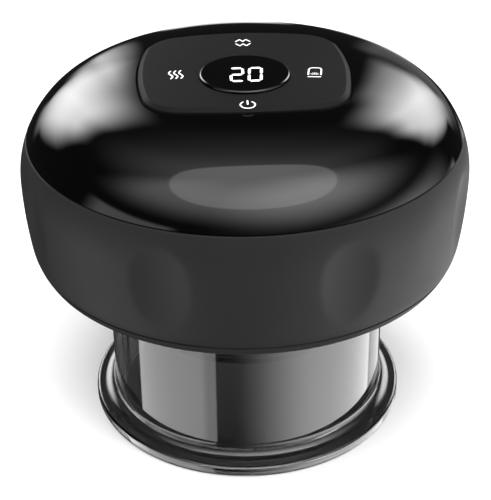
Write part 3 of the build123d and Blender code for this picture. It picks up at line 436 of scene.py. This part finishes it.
look = {
    "gloss_cap": moulded("gloss black", (0.0006,) * 3, (0.0010,) * 3, (0.03, 0.05), 900.0, 0.0000006, 25.0),
    "housing": moulded(
        "matte black", (0.013,) * 3, (0.0145,) * 3, (0.50, 0.56), 3200.0, 0.000018, level=0.10
    ),
    "panel": moulded(
        "satin black", (0.0075,) * 3, (0.0083,) * 3, (0.42, 0.48), 3000.0, 0.000006, level=0.03
    ),
    "display": moulded("display glass", (0.001,) * 3, (0.0015,) * 3, (0.02, 0.04), 900.0, 0.0000004),
    "digits": glowing("lit digits", (0.95, 0.95, 0.95), 0.8),
    # The printed icons glow a little: painted light, since print gives no light of its own.
    "print": glowing("white print with painted glow", (0.9, 0.9, 0.9), 0.35),
    "board": moulded("solder mask", (0.012, 0.10, 0.04), (0.016, 0.13, 0.05), (0.3, 0.4)),
    "board_black": moulded("chip black", (0.02,) * 3, (0.03,) * 3, (0.4, 0.5)),
    "sensor_can": drawn_metal("sensor can", (0.6,) * 3, (0.75,) * 3, (0.25, 0.4), (1, 1, 1)),
    "steel": drawn_metal("steel", (0.45,) * 3, (0.62,) * 3, (0.22, 0.36), (1, 1, 14)),
    "chassis": moulded("chassis plastic", (0.05,) * 3, (0.065,) * 3, (0.45, 0.55)),
    "cell_wrap": moulded("shrink film", (0.02, 0.10, 0.22), (0.025, 0.13, 0.28), (0.2, 0.3)),
    "rim": moulded("rim black", (0.006,) * 3, (0.009,) * 3, (0.12, 0.2), 1500.0, 0.000002),
    "diffuser": moulded("diffuser", (0.55, 0.52, 0.50), (0.62, 0.59, 0.57), (0.3, 0.4)),
    "lamp": moulded("red lamp", (0.5, 0.02, 0.015), (0.6, 0.03, 0.02), (0.1, 0.2)),
    "plate": drawn_metal("heating plate", (0.55,) * 3, (0.7,) * 3, (0.22, 0.32), (1, 1, 1)),
    "film": moulded("heater film", (0.40, 0.16, 0.02), (0.46, 0.2, 0.03), (0.3, 0.4)),
    "white_plastic": moulded("natural plastic", (0.62, 0.62, 0.6), (0.7, 0.7, 0.68), (0.4, 0.5)),
    "felt": moulded("filter foam", (0.6,) * 3, (0.75,) * 3, (0.9, 1.0), 1800.0, 0.0002),
    "seal": moulded("black rubber", (0.02,) * 3, (0.028,) * 3, (0.6, 0.75), 1500.0, 0.00003),
    "magnet": drawn_metal("magnet plating", (0.6,) * 3, (0.75,) * 3, (0.1, 0.2), (1, 1, 1)),
    "smoked_clear": clear("smoked cup", (0.12, 0.12, 0.12), (0.005, 0.012), 1.57),
    "bronze": drawn_metal("bronze", (0.42, 0.25, 0.1), (0.55, 0.34, 0.15), (0.3, 0.4), (1, 1, 1)),
    "ferrite": moulded("ferrite", (0.03,) * 3, (0.05,) * 3, (0.6, 0.7), 1800.0, 0.00004),
    "copper": drawn_metal("copper wire", (0.6, 0.24, 0.1), (0.75, 0.33, 0.15), (0.25, 0.35), (14, 1, 1)),
    "silicone": moulded("silicone hose", (0.6, 0.6, 0.58), (0.66, 0.66, 0.64), (0.35, 0.45)),
}
for part in frame["record"]["subparts"]:
    mesh = nodes[part["node"]].data
    mesh.materials.clear()
    mesh.materials.append(look[part["material_slot"]])


# Camera at the photograph's angle
camera_turn, camera_tilt, camera_roll = -2.2, 29.87, -0.64
camera_lens, camera_shift = 97.38, -0.0614
camera_target, camera_distance = Vector((0, 0, 0.05)), 0.34309


def add_camera():
    turn, tilt, roll = radians(camera_turn), radians(camera_tilt), radians(camera_roll)
    data = bpy.data.cameras.new("camera")
    data.lens = camera_lens
    data.sensor_width = 36.0
    data.shift_y = camera_shift
    data.clip_start = 0.01
    camera = bpy.data.objects.new("camera", data)
    back = Vector((sin(turn) * cos(tilt), -cos(turn) * cos(tilt), sin(tilt)))
    place = camera_target + back * camera_distance
    turned = back.to_track_quat("Z", "Y").to_matrix().to_4x4() @ Matrix.Rotation(roll, 4, "Z")
    camera.matrix_world = Matrix.Translation(place) @ turned
    scene.collection.objects.link(camera)
    scene.camera = camera


add_camera()


# Panel outline
def bowed_outline(steps=48):
    """Points and outward normals round the panel: four bowed sides and four corner arcs, all tangent."""
    cx = panel_half_x - panel_bow - panel_corner
    cy = panel_half_y - panel_bow - panel_corner
    side_radius = ((cx - panel_half_x) ** 2 + cy**2 - panel_corner**2) / (2 * panel_bow)
    end_radius = ((cy - panel_half_y) ** 2 + cx**2 - panel_corner**2) / (2 * panel_bow)
    side_lean = atan2(cy, cx - panel_half_x + side_radius)
    end_lean = atan2(cx, cy - panel_half_y + end_radius)
    quarter = []
    for k in range(steps):
        lean = side_lean * k / steps
        x = panel_half_x - side_radius + side_radius * cos(lean)
        quarter.append((x, side_radius * sin(lean), lean))
    corner_span = pi / 2 - end_lean - side_lean
    for k in range(steps):
        lean = side_lean + corner_span * k / steps
        quarter.append((cx + panel_corner * cos(lean), cy + panel_corner * sin(lean), lean))
    for k in range(steps):
        lean = end_lean * (1 - k / steps)
        y = panel_half_y - end_radius + end_radius * cos(lean)
        quarter.append((end_radius * sin(lean), y, pi / 2 - lean))
    outline = []
    for x, y, lean in quarter:
        outline.append((x, y, cos(lean), sin(lean)))
    for x, y, lean in reversed(quarter[1:]):
        outline.append((-x, y, -cos(lean), sin(lean)))
    outline.append((0.0, panel_half_y, 0.0, 1.0))
    outline.append((-panel_half_x, 0.0, -1.0, 0.0))
    upper = sorted(outline, key=lambda p: atan2(p[1], p[0]))
    lower = [(x, -y, nx, -ny) for x, y, nx, ny in upper if y > 1e-6]
    return sorted(upper + lower, key=lambda p: atan2(p[1], p[0]))


OUTLINE = bowed_outline()


def outline_reach(inset, centre_y, steps):
    """Distances from (0, centre_y) to the outline moved in by inset, for equal steps of angle."""
    polar = []
    for x, y, nx, ny in OUTLINE:
        px, py = x - nx * inset, y - ny * inset - centre_y
        polar.append((atan2(py, px), hypot(px, py)))
    polar.sort()
    polar = [(polar[-1][0] - 2 * pi, polar[-1][1])] + polar + [(polar[0][0] + 2 * pi, polar[0][1])]
    reaches = []
    k = 0
    for j in range(steps):
        angle = -pi + 2 * pi * j / steps
        while polar[k + 1][0] < angle:
            k += 1
        (a0, d0), (a1, d1) = polar[k], polar[k + 1]
        reaches.append(d0 + (d1 - d0) * (angle - a0) / max(a1 - a0, 1e-9))
    return reaches


def ring_points(reaches, centre_y, height):
    """Points at the given reaches round (0, centre_y), with height(x, y) as z."""
    points = []
    steps = len(reaches)
    for j, reach in enumerate(reaches):
        angle = -pi + 2 * pi * j / steps
        x, y = reach * cos(angle), centre_y + reach * sin(angle)
        points.append((x, y, height(x, y)))
    return points


# Gloss cap, with the panel's recess in it
def make_cap(floor_rows=7, crown_rows=40):
    steps = OUTLINE_STEPS
    rows = []
    recess = [(0.0, panel_seat + seat_play), (0.0, recess_edge), (0.05, 0.05), (recess_edge, 0.0)]
    for k in range(floor_rows):
        share = 0.02 + 0.98 * k / floor_rows
        reaches = [share * reach for reach in outline_reach(-panel_gap, 0, steps)]
        rows.append(ring_points(reaches, 0, lambda x, y: dome_z(hypot(x, y)) - panel_seat - seat_play))
    for out, drop in recess:
        reaches = outline_reach(-panel_gap - out, 0, steps)
        rows.append(ring_points(reaches, 0, lambda x, y: dome_z(hypot(x, y)) - drop))
    edge = outline_reach(-panel_gap - recess_edge, 0, steps)
    for k in range(1, crown_rows + 1):
        share = k / crown_rows
        reaches = [reach + (CROWN_END - reach) * share for reach in edge]
        rows.append(ring_points(reaches, 0, lambda x, y: dome_z(hypot(x, y))))
    outer = between(BLENDED[::5], dome_z(CROWN_END) - 1e-6, seam_z + groove)
    seam_r = outer[-1][0]
    tail = outer[1:] + [(seam_r - groove, seam_z), (seam_r - cap_wall, seam_z)]
    inner = between(skin_profile(cap_wall), head_top, seam_z)
    tail += [(r, z) for r, z in reversed(inner) if r > 1]
    for r, z in tail:
        rows.append(ring_points([r] * steps, 0, lambda x, y: z))
    vertices = [point for row in rows for point in row]
    faces = grid_faces(len(rows), steps, False)
    faces.append(tuple(range(steps)))
    faces.append(tuple(range(len(vertices) - steps, len(vertices))))
    return add_mesh("gloss_cap", vertices, faces)


settle(make_cap(), look["gloss_cap"], "head", "top_cover")


# Housing with the socket's opening and soft finger dimples, upright hollows that lean with the wall
dimple_radius = 28.0
dimple_bow_radius = 83.0
dimple_depth = 1.4
dimple_count = 8
dimple_z = base_line_z + 15.5
dimple_soft = 0.3
# Above a dimple's middle, points this far in are the wall's inside, which stays smooth
dimple_inside = 2.3

# The socket's opening: half the straight run, the round ends, the height, and the cutter's two ends
slot_half, slot_end, slot_z, slot_span = 3.15, 1.85, 62.0, (48.0, 60.0)


def make_housing():
    outer = between(skin_profile(step=0.3), seam_z - groove, base_line_z + groove)
    above = next(point for point in outer if point[1] <= dimple_z + dimple_depth)
    dimple_r = next(r for r, z in outer if z <= dimple_z)
    below = next(point for point in outer if point[1] <= dimple_z - dimple_depth)
    lean = atan2(above[0] - below[0], above[1] - below[1])

    def dimple(angle, r, z):
        """The wall pushed in to a bowed bar of two radii, which leans with it."""
        slot = 2 * pi / dimple_count
        off = (angle % slot) - slot / 2
        across = r * sin(off)
        if abs(across) >= dimple_radius or r < dimple_r - dimple_inside and z > dimple_z:
            return r
        out, rise = r * cos(off) - dimple_r, z - dimple_z
        depth = out * cos(lean) - rise * sin(lean)
        along = out * sin(lean) + rise * cos(lean)
        bow = dimple_bow_radius - dimple_radius + sqrt(dimple_radius**2 - across**2)
        if abs(along) >= bow:
            return r
        bite = depth - (dimple_bow_radius - dimple_depth - sqrt(bow**2 - along**2))
        return r - (bite + sqrt(bite**2 + dimple_soft**2)) / 2

    inner = between(skin_profile(housing_wall), seam_z, base_line_z)
    brow, brow_steps = [], 6
    for k in range(brow_steps):
        angle = pi / 2 * k / brow_steps
        brow.append((outer[0][0] - groove * (1 - sin(angle)), seam_z - groove * (1 - cos(angle))))
    profile = brow + outer + [(outer[-1][0] - groove, base_line_z)]
    profile += list(reversed(inner))
    housing = lathe("matte_housing", profile, steps=640, push=dimple)
    cut(housing, [slot_cutter()])
    return housing


def slot_cutter(steps=32):
    """A rounded bar through the back wall, a little wider than the socket's shell."""
    points = []
    for side in (1, -1):
        for k in range(steps + 1):
            angle = -side * pi / 2 + pi * k / steps
            points.append((side * slot_half + slot_end * cos(angle), slot_end * sin(angle)))
    vertices = []
    for y in slot_span:
        vertices += [(x, y, slot_z + z) for x, z in points]
    count = len(points)
    faces = grid_faces(2, count, False)
    faces += [tuple(range(count)), tuple(range(count, 2 * count))]
    return add_mesh("slot_cutter", vertices, faces)


settle(make_housing(), look["housing"], "head", "lower_housing")


# Bottom cover with its boss, screw pockets and vents
pocket_ring, pocket_turn, pocket_radius, pocket_depth = 45.5, 20, 2.75, 2.0
vent_ring, vent_count, vent_step, vent_radius = 42, 5, 5, 0.8


def make_bottom():
    outer = between(skin_profile(step=0.25), base_line_z - groove, head_lift + 0.001)
    groove_r = outer[0][0] - groove
    profile = [(groove_r, base_line_z)] + outer
    profile += rounded(
        [
            (outer[-1][0], head_lift, 0),
            (socket_radius, head_lift, 0.5),
            (socket_radius, base_line_z, 0.2),
            (boss_radius, base_line_z, 0.3),
            (boss_radius, led_board_low, 0.1),
            (boss_radius - boss_wall, led_board_low, 0.1),
            (boss_radius - boss_wall, hump_top, 0),
            (hump_radius, hump_top, 0),
            (hump_radius, base_line_z, 0),
        ],
        closed=False,
    )
    cover = lathe("bottom_shell", profile)
    cutters = []
    for side in (0, 180):
        for turn in (-pocket_turn, pocket_turn):
            angle = radians(side + turn)
            cutters.append(plug("pocket", pocket_radius, pocket_ring, angle, head_lift + pocket_depth))
    for k in range(vent_count):
        angle = radians(90 + (k - vent_count // 2) * vent_step)
        cutters.append(plug("vent", vent_radius, vent_ring, angle, base_line_z + 1))
    cut(cover, cutters)
    return cover


def plug(name, radius, ring, turn, high, steps=48):
    """A round cutter from below the head up to high, at an angle turn on a ring round the axis."""
    x, y = ring * cos(turn), ring * sin(turn)
    vertices = []
    for z in (head_lift - 1, high):
        for j in range(steps):
            angle = 2 * pi * j / steps
            vertices.append((x + radius * cos(angle), y + radius * sin(angle), z))
    faces = grid_faces(2, steps, False) + [tuple(range(steps)), tuple(range(steps, 2 * steps))]
    return add_mesh(name, vertices, faces)


settle(make_bottom(), look["housing"], "head", "bottom_cover")


# Round pieces of the boss and the cup
def turned(name, corners, slot, body, *replaced, steps=6):
    piece = lathe(name, rounded(corners, steps=steps))
    return settle(piece, look[slot], body, *replaced)


turned(
    "rim_trim",
    [
        (plate_radius + boss_play, rim_low, 0.25),
        (boss_radius + boss_play, rim_low, 0.5),
        (boss_radius + boss_play, light_low, 0.1),
        (plate_radius + boss_play, light_low, 0),
    ],
    "rim", "head", "boss_rim",
)
turned(
    "light_diffuser",
    [
        (boss_radius - light_width, light_low, 0.1),
        (boss_radius, light_low, 0.15),
        (boss_radius, led_board_low, 0.15),
        (boss_radius - light_width, led_board_low, 0.1),
    ],
    "diffuser", "head", "light_ring",
)
turned(
    "warm_plate",
    [
        (nozzle_radius + nozzle_play, light_low - plate_half, 0.15),
        (plate_radius, light_low - plate_half, 0.35),
        (plate_radius, light_low, 0),
        (plate_radius + plate_step, light_low, 0.1),
        (plate_radius + plate_step, light_low + plate_half, 0.1),
        (nozzle_radius + nozzle_play, light_low + plate_half, 0),
    ],
    "plate", "head", "heating_plate",
)
turned(
    "cup_gasket",
    [
        (seal_in, seal_low, 0.3),
        (seal_out, seal_low, 0.3),
        (seal_out, base_line_z, 0.1),
        (seal_in, base_line_z, 0.1),
    ],
    "seal", "head", "cup_seal",
)
turned(
    "holding_ring",
    [
        (ring_in, cup_top, 0.1),
        (ring_out, cup_top, 0.1),
        (ring_out, seal_low, 0.15),
        (ring_in, seal_low, 0.15),
    ],
    "steel", "cup", "cup_ring",
)
turned(
    "clear_cup",
    [
        (cup_wall_radius - cup_wall, 0, 2.4),
        (foot_radius, 0, 0.8),
        (foot_radius, foot_top, 0.8),
        (cup_wall_radius, foot_top, 3.1),
        (cup_wall_radius, cup_top, 0.3),
        (cup_mouth_radius, cup_top, 0.3),
        (cup_mouth_radius, cup_top - cup_flange, 0.3),
        (cup_wall_radius - cup_wall, cup_top - cup_flange, 0.8),
    ],
    "smoked_clear", "cup", "cup", steps=14,
)


# Touch panel, display and prints
def face_z(x, y):
    """Height of the panel's slightly domed face."""
    return head_top + panel_lift - panel_face_radius + sqrt(panel_face_radius**2 - x * x - y * y)


def make_panel(face_rows=24):
    steps = OUTLINE_STEPS
    bevel = [(0, panel_depth, 0), (0, panel_bevel, 0.12), (1.5 * panel_bevel, 0, 0.3), (1.7, 0, 0)]
    edge = rounded(bevel, closed=False)
    seat = outline_reach(0, display_y, steps)
    rows = [ring_points(seat, display_y, lambda x, y: dome_z(hypot(x, y)) - panel_seat)]
    for inset, drop in edge[1:]:
        reaches = outline_reach(inset, display_y, steps)
        rows.append(ring_points(reaches, display_y, lambda x, y: face_z(x, y) - drop))
    outside = outline_reach(edge[-1][0], display_y, steps)
    hole, hole_rim = display_radius + display_gap, 0.3
    for k in range(1, face_rows + 1):
        share = k / face_rows
        reaches = [reach + (hole + hole_rim - reach) * share for reach in outside]
        rows.append(ring_points(reaches, display_y, face_z))
    for reach, drop in ((0.16, 0.03), (0.05, 0.1), (0, 0.25), (0, panel_depth)):
        rows.append(ring_points([hole + reach] * steps, display_y, lambda x, y: face_z(x, y) - drop))
    vertices = [point for row in rows for point in row]
    return add_mesh("control_panel", vertices, grid_faces(len(rows), steps, True))


settle(make_panel(), look["panel"], "head", "touch_panel")

display_top = face_z(0, display_y) + display_rise
window_profile = rounded(
    [
        (0.001, display_top - display_depth, 0),
        (display_radius, display_top - display_depth, 0.1),
        (display_radius, display_top, 0.5),
        (0.001, display_top + display_crown, 0),
    ],
    closed=False, steps=10,
)
settle(
    lathe("display_glass", window_profile, centre=(0, display_y)),
    look["display"], "head", "display_window",
)


def flat_shape(name, polygons, height, thickness):
    """Thin raised shapes: each polygon of (x, y) points lies on height(x, y)."""
    vertices, faces = [], []
    for polygon in polygons:
        start, count = len(vertices), len(polygon)
        vertices += [(x, y, height(x, y) - thickness) for x, y in polygon]
        vertices += [(x, y, height(x, y) + thickness) for x, y in polygon]
        faces.append(tuple(range(start, start + count)))
        faces.append(tuple(range(start + count, start + 2 * count)))
        for j in range(count):
            k = (j + 1) % count
            faces.append((start + j, start + k, start + count + k, start + count + j))
    return add_mesh(name, vertices, faces)


def stroke(points, width):
    """Quads along a line of points with round ends and joints, as separate polygons."""
    polygons = []
    half = width / 2
    for (x0, y0), (x1, y1) in zip(points, points[1:]):
        length = hypot(x1 - x0, y1 - y0)
        nx, ny = -(y1 - y0) / length * half, (x1 - x0) / length * half
        polygons.append([(x0 + nx, y0 + ny), (x0 - nx, y0 - ny), (x1 - nx, y1 - ny), (x1 + nx, y1 + ny)])
    for x, y in points:
        angles = [2 * pi * k / DISC_STEPS for k in range(DISC_STEPS)]
        polygons.append([(x + half * cos(angle), y + half * sin(angle)) for angle in angles])
    return polygons


def wave(start, end, swing, steps=24):
    """One sine wave from start to end with its swing across it."""
    (x0, y0), (x1, y1) = start, end
    length = hypot(x1 - x0, y1 - y0)
    nx, ny = -(y1 - y0) / length, (x1 - x0) / length
    line = []
    for k in range(steps + 1):
        share = k / steps
        side = swing * sin(2 * pi * share)
        line.append((x0 + (x1 - x0) * share + nx * side, y0 + (y1 - y0) * share + ny * side))
    return line


def leaned(polygons, middle, lean):
    """Polygons whose upper parts stand further right, as on the photographed panel."""
    return [[(x + lean * (y - middle), y) for x, y in polygon] for polygon in polygons]


thin_line, icon_line, cup_line, bold_line, base_line = 0.14, 0.34, 0.36, 0.38, 0.40
heat_at, wave_at, power_at, cup_at = (-16.2, -3.5), (0.4, 14.9), (0.0, -20.8), (16.6, -4.2)
cup_lean, zero_lean = 0.13, 0.06


def heat_icon(x, y, apart=1.2, half_height=2.15, slant=0.05):
    """Three rising waves."""
    shapes = []
    for offset in (-apart, 0, apart):
        top, foot = (x + offset - slant, y + half_height), (x + offset + slant, y - half_height)
        shapes += stroke(wave(top, foot, -0.42), bold_line)
    return shapes


def wave_icon(x, y):
    """A bent line with two peaks and its mirror image below."""
    shapes = []
    for side in (1, -1):
        points = []
        for across, rise in ((-1.75, 0.75), (-0.8, 2.2), (0, 0.85), (0.8, 2.2), (1.75, 0.75)):
            points.append((x + across, y + side * rise))
        shapes += stroke(points, icon_line)
    return shapes


def power_icon(x, y, opening=38, steps=40):
    """A ring that is open at the top, with an upright bar in the opening."""
    arc = []
    for k in range(steps + 1):
        angle = radians(90 + opening + (360 - 2 * opening) * k / steps)
        arc.append((x + 1.66 * cos(angle), y + 1.7 * sin(angle)))
    return stroke(arc, icon_line) + stroke([(x, y + 1.9), (x, y + 0.2)], bold_line)


def cup_icon(x, y, steps=12):
    """A cup with rays in it over a short line."""
    outline = [(x - 1.5, y - 1.3)]
    for side, start in ((-1, pi), (1, pi / 2)):
        for k in range(steps + 1):
            angle = start - pi / 2 * k / steps
            outline.append((x + side * 0.6 + 0.9 * cos(angle), y + 1.5 + 1.1 * sin(angle)))
    outline.append((x + 1.5, y - 1.3))
    shapes = stroke(outline, cup_line) + stroke([(x - 1.4, y - 2.5), (x + 1.4, y - 2.5)], base_line)
    rays_y = y - 1.45
    for angle in (30, 62, 90, 118, 150):
        dx, dy = cos(radians(angle)), sin(radians(angle))
        shapes += stroke([(x + 0.55 * dx, rays_y + 0.3 * dy), (x + 1.1 * dx, rays_y + 1.3 * dy)], thin_line)
    return leaned(shapes, y, cup_lean)


icons = heat_icon(*heat_at) + wave_icon(*wave_at) + power_icon(*power_at) + cup_icon(*cup_at)
prints = flat_shape("panel_print", icons, face_z, 0.012)
settle(prints, look["print"], "head")

two_x, zero_x, digits_y = -1.85, 2.45, -5.9
digit_width, digit_height = 3.45, 8.2
post_width, bar_width, digit_gap = 0.62, 0.86, 0.16
lit = {"2": "abdeg", "0": "abcdef"}


def bar(x0, x1, y):
    """A level segment with pointed ends."""
    h, tip = bar_width / 2, post_width / 2
    return [(x0, y), (x0 + tip, y - h), (x1 - tip, y - h), (x1, y), (x1 - tip, y + h), (x0 + tip, y + h)]


def upright(x, y0, y1):
    """An upright segment with pointed ends."""
    h, tip = post_width / 2, bar_width / 2
    return [(x, y0), (x + h, y0 + tip), (x + h, y1 - tip), (x, y1), (x - h, y1 - tip), (x - h, y0 + tip)]


def digit(symbol, x, y):
    """A symbol's lit segments, named as on a seven-segment display."""
    left, right = x - digit_width / 2 + post_width / 2, x + digit_width / 2 - post_width / 2
    low, high = y - digit_height / 2 + bar_width / 2, y + digit_height / 2 - bar_width / 2
    segments = {
        "a": bar(left + digit_gap, right - digit_gap, high),
        "g": bar(left + digit_gap, right - digit_gap, y),
        "d": bar(left + digit_gap, right - digit_gap, low),
        "f": upright(left, y + digit_gap, high - digit_gap),
        "b": upright(right, y + digit_gap, high - digit_gap),
        "e": upright(left, low + digit_gap, y - digit_gap),
        "c": upright(right, low + digit_gap, y - digit_gap),
    }
    return [segments[key] for key in lit[symbol]]


digits = digit("2", two_x, digits_y) + leaned(digit("0", zero_x, digits_y), digits_y, zero_lean)
numbers = flat_shape("lit_number", digits, lambda x, y: display_top, 0.02)
settle(numbers, look["digits"], "head")


def make_return_spring(turns=3, wire=0.2, sides=12, steps=36):
    """The valve's spring as a coil, as long as the solid."""
    solid = nodes["valve_spring"]
    corners = [solid.matrix_world @ Vector(corner) / MM for corner in solid.bound_box]
    low = [min(corner[k] for corner in corners) for k in range(3)]
    high = [max(corner[k] for corner in corners) for k in range(3)]
    x, y = (low[0] + high[0]) / 2, (low[1] + high[1]) / 2
    coil = (high[0] - low[0]) / 2 - wire
    rings = turns * steps + 1
    vertices = []
    for k in range(rings):
        angle = 2 * pi * k / steps
        z = low[2] + wire + (high[2] - low[2] - 2 * wire) * k / (rings - 1)
        for j in range(sides):
            lean = 2 * pi * j / sides
            reach = coil + wire * cos(lean)
            vertices.append((x + reach * cos(angle), y + reach * sin(angle), z + wire * sin(lean)))
    faces = [tuple(range(sides)), tuple(range((rings - 1) * sides, rings * sides))]
    faces += grid_faces(rings, sides, False)
    spring = add_mesh("return_spring", vertices, faces)
    spring.data.materials.append(solid.data.materials[0])
    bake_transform(spring)
    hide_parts("valve_spring")


make_return_spring()


# Floor, light and world
floor_z = -0.02
light_target = Vector((0, 0, 0.08))
# Each lamp's azimuth (0 at the back) and elevation, its distance and size in metres, and its power
softboxes = {
    "softbox_top": ((180, 75), 0.9, (1.1, 0.95), 14),
    "softbox_left": ((-60, 30), 1.2, (0.75, 0.75), 5),
    "softbox_right": ((120, 25), 1.2, (0.75, 0.75), 7),
}


def add_floor():
    floor = lathe("floor", [(r, floor_z) for r in (0.001, 400, 4000)], closed=False, steps=96)
    material, tree, shader = new_material("floor")
    slow = place_noise(tree, 3.0, 2.0)
    tone = tint(tree, spread(tree, slow, 0, 1), (0.93,) * 3, (0.95,) * 3)
    tree.links.new(tone, shader.inputs["Base Color"])
    shader.inputs["Roughness"].default_value = 0.9
    shader.inputs["Specular IOR Level"].default_value = 0.0
    floor.data.materials.append(material)
    floor.visible_glossy = False
    # The cup stands on the floor, so the floor goes with the cup when the head is lifted off it.
    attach(floor, "cup")


def add_softbox(name, direction, distance, size, power):
    """A soft light that gloss doesn't show: it shows the world's cards instead."""
    data = bpy.data.lights.new(name, "AREA")
    data.shape = "ELLIPSE"
    data.size, data.size_y = size
    data.energy = power
    lamp = bpy.data.objects.new(name, data)
    turn, rise = (radians(a) for a in direction)
    back = Vector((sin(turn) * cos(rise), cos(turn) * cos(rise), sin(rise)))
    lamp.location = light_target + back * distance
    lamp.rotation_euler = back.to_track_quat("Z", "Y").to_euler()
    lamp.visible_glossy = False
    scene.collection.objects.link(lamp)


# The studio as gloss shows it: cards with soft edges. Azimuth is 0 behind the object and 90 on its right,
# in degrees, with the card's start, full start, full end and end; elevation likewise; then its strength.
# The two soft lamps behind the object narrow with elevation, and each further tuple says how: the elevation
# where the card would vanish, the one where it has its full width, and the azimuth that it narrows towards.
studio_cards = [
    ((-58, -33, -22, -6), (-9, 25, 29.5, 41), 7.3, (-2, 17, -32), (72, 22, -20)),
    ((-13, -10.5, -9.5, -6), (-3, 6, 12, 30), 1.1),
    ((-20, -14, -12, -8), (-2, 10, 15, 27), 1.6),
    ((14.5, 30, 45, 63), (-8, 27, 31, 42.5), 7.3, (0.4, 16.2, 34), (60, 24, 20)),
    ((13, 17, 20, 30), (10, 17, 27, 33), 0.9),
    ((11, 14, 30, 40), (-12, -8, 8, 13), 0.25),
    ((64, 124, 140, 208), (14, 50, 55, 90), 3.2),
    ((140, 200, 245, 280), (24, 50, 55, 90), 1.5),
    ((-181, -180, 180, 181), (38, 84, 91, 92), 1.0),
    ((-146, -138, -104, -90), (-60, -48, 17, 21), 1.2),
    ((-153, -151, -104, -90), (-60, -48, -24, -4), 2.3),
    ((-104, -90, -77, -75), (-60, -48, -24, -4), 3.5),
    ((54, 58, 120, 195), (-60, -48, -16, -2), 4.4),
    ((58, 106, 126, 165), (-24, -4, 0, 20), 2.6),
    ((24, 30, 52, 58), (-60, -48, -24, -13), 1.8),
    ((-4, -2, 3, 6), (-92, -91, -5, -2.5), 1.8),
    ((7, 10, 14, 17), (-92, -91, -12, -6), 0.9),
]
# The overhead lamp on the plane of x / z and y / z: its middle, half sizes, taper, edge and strength.
overhead = ((0.06, -0.27), (0.60, 0.65), -0.20, 0.03, 1.5)
# Light between the cards, the least part of its width that a card narrows to, and what keeps the overhead
# lamp's division and width away from nothing
dim_light, least_share, least_z, least_width = 0.02, 0.1, 0.05, 0.1
# Strength of the world for everything but gloss
ambient = 0.45


def math_node(tree, operation, *values):
    node = tree.nodes.new("ShaderNodeMath")
    node.operation = operation
    for socket, value in zip(node.inputs, values):
        if isinstance(value, (int, float)):
            socket.default_value = value
        else:
            tree.links.new(value, socket)
    return node.outputs["Value"]


def smooth_step(tree, value, start, end):
    node = tree.nodes.new("ShaderNodeMapRange")
    node.interpolation_type = "SMOOTHSTEP"
    node.inputs["From Min"].default_value = start
    node.inputs["From Max"].default_value = end
    tree.links.new(value, node.inputs["Value"])
    return node.outputs["Result"]


def window(tree, value, edges):
    """1 between the inner two edges, and 0 outside the outer two."""
    rise = smooth_step(tree, value, edges[0], edges[1])
    fall = smooth_step(tree, value, edges[2], edges[3])
    return math_node(tree, "MULTIPLY", rise, math_node(tree, "SUBTRACT", 1.0, fall))


def studio_light(tree, x, y, z):
    """How bright the studio is in the direction (x, y, z)."""

    def calc(operation, *values):
        return math_node(tree, operation, *values)

    azimuth = calc("DEGREES", calc("ARCTAN2", x, y))
    elevation = calc("DEGREES", calc("ARCSINE", z))
    total = dim_light
    for turn, rise, strength, *narrowing in studio_cards:
        middle = narrowing[0][2] if narrowing else (turn[0] + turn[3]) / 2
        away = calc("WRAP", calc("SUBTRACT", azimuth, middle), 180.0, -180.0)
        for gone, full, hold in narrowing:
            share = calc("DIVIDE", calc("SUBTRACT", elevation, gone), full - gone)
            share = calc("MINIMUM", calc("MAXIMUM", share, least_share), 1.0)
            away = calc("SUBTRACT", away, hold - middle)
            away = calc("DIVIDE", away, calc("SQRT", share))
            away = calc("ADD", away, hold - middle)
        across = window(tree, away, [edge - middle for edge in turn])
        card = calc("MULTIPLY", across, window(tree, elevation, rise))
        total = calc("MULTIPLY_ADD", card, strength, total)
    middle, half, taper, edge, strength = overhead
    above = calc("MAXIMUM", z, least_z)
    flat_y = calc("DIVIDE", calc("SUBTRACT", calc("DIVIDE", y, above), middle[1]), half[1])
    width = calc("MAXIMUM", calc("MULTIPLY_ADD", flat_y, taper, half[0]), least_width)
    flat_x = calc("DIVIDE", calc("SUBTRACT", calc("DIVIDE", x, above), middle[0]), width)
    square = calc("MULTIPLY_ADD", flat_x, flat_x, calc("MULTIPLY", flat_y, flat_y))
    lamp = calc("SUBTRACT", 1.0, smooth_step(tree, calc("SQRT", square), 1 - edge, 1 + edge))
    return calc("MULTIPLY_ADD", lamp, strength, total)


def add_world():
    """White behind the object and through clear plastic, the studio in gloss, and even light elsewhere."""
    world = bpy.data.worlds.new("studio")
    world.use_nodes = True
    world.cycles.sampling_method = "NONE"
    tree = world.node_tree
    background = tree.nodes["Background"]
    where = tree.nodes.new("ShaderNodeTexCoord")
    parts = tree.nodes.new("ShaderNodeSeparateXYZ")
    tree.links.new(where.outputs["Generated"], parts.inputs["Vector"])
    studio = studio_light(tree, parts.outputs["X"], parts.outputs["Y"], parts.outputs["Z"])
    path = tree.nodes.new("ShaderNodeLightPath").outputs
    clear_view = math_node(tree, "MAXIMUM", path["Is Camera Ray"], path["Is Transmission Ray"])
    strength = tree.nodes.new("ShaderNodeMix")
    strength.inputs["A"].default_value = ambient
    tree.links.new(path["Is Glossy Ray"], strength.inputs["Factor"])
    tree.links.new(studio, strength.inputs["B"])
    shown = tree.nodes.new("ShaderNodeMix")
    shown.inputs["B"].default_value = 1.0
    tree.links.new(clear_view, shown.inputs["Factor"])
    tree.links.new(strength.outputs["Result"], shown.inputs["A"])
    background.inputs["Color"].default_value = (1, 1, 1, 1)
    tree.links.new(shown.outputs["Result"], background.inputs["Strength"])
    scene.world = world


add_floor()
add_world()
for lamp_name, values in softboxes.items():
    add_softbox(lamp_name, *values)
scene.view_settings.view_transform = "Standard"
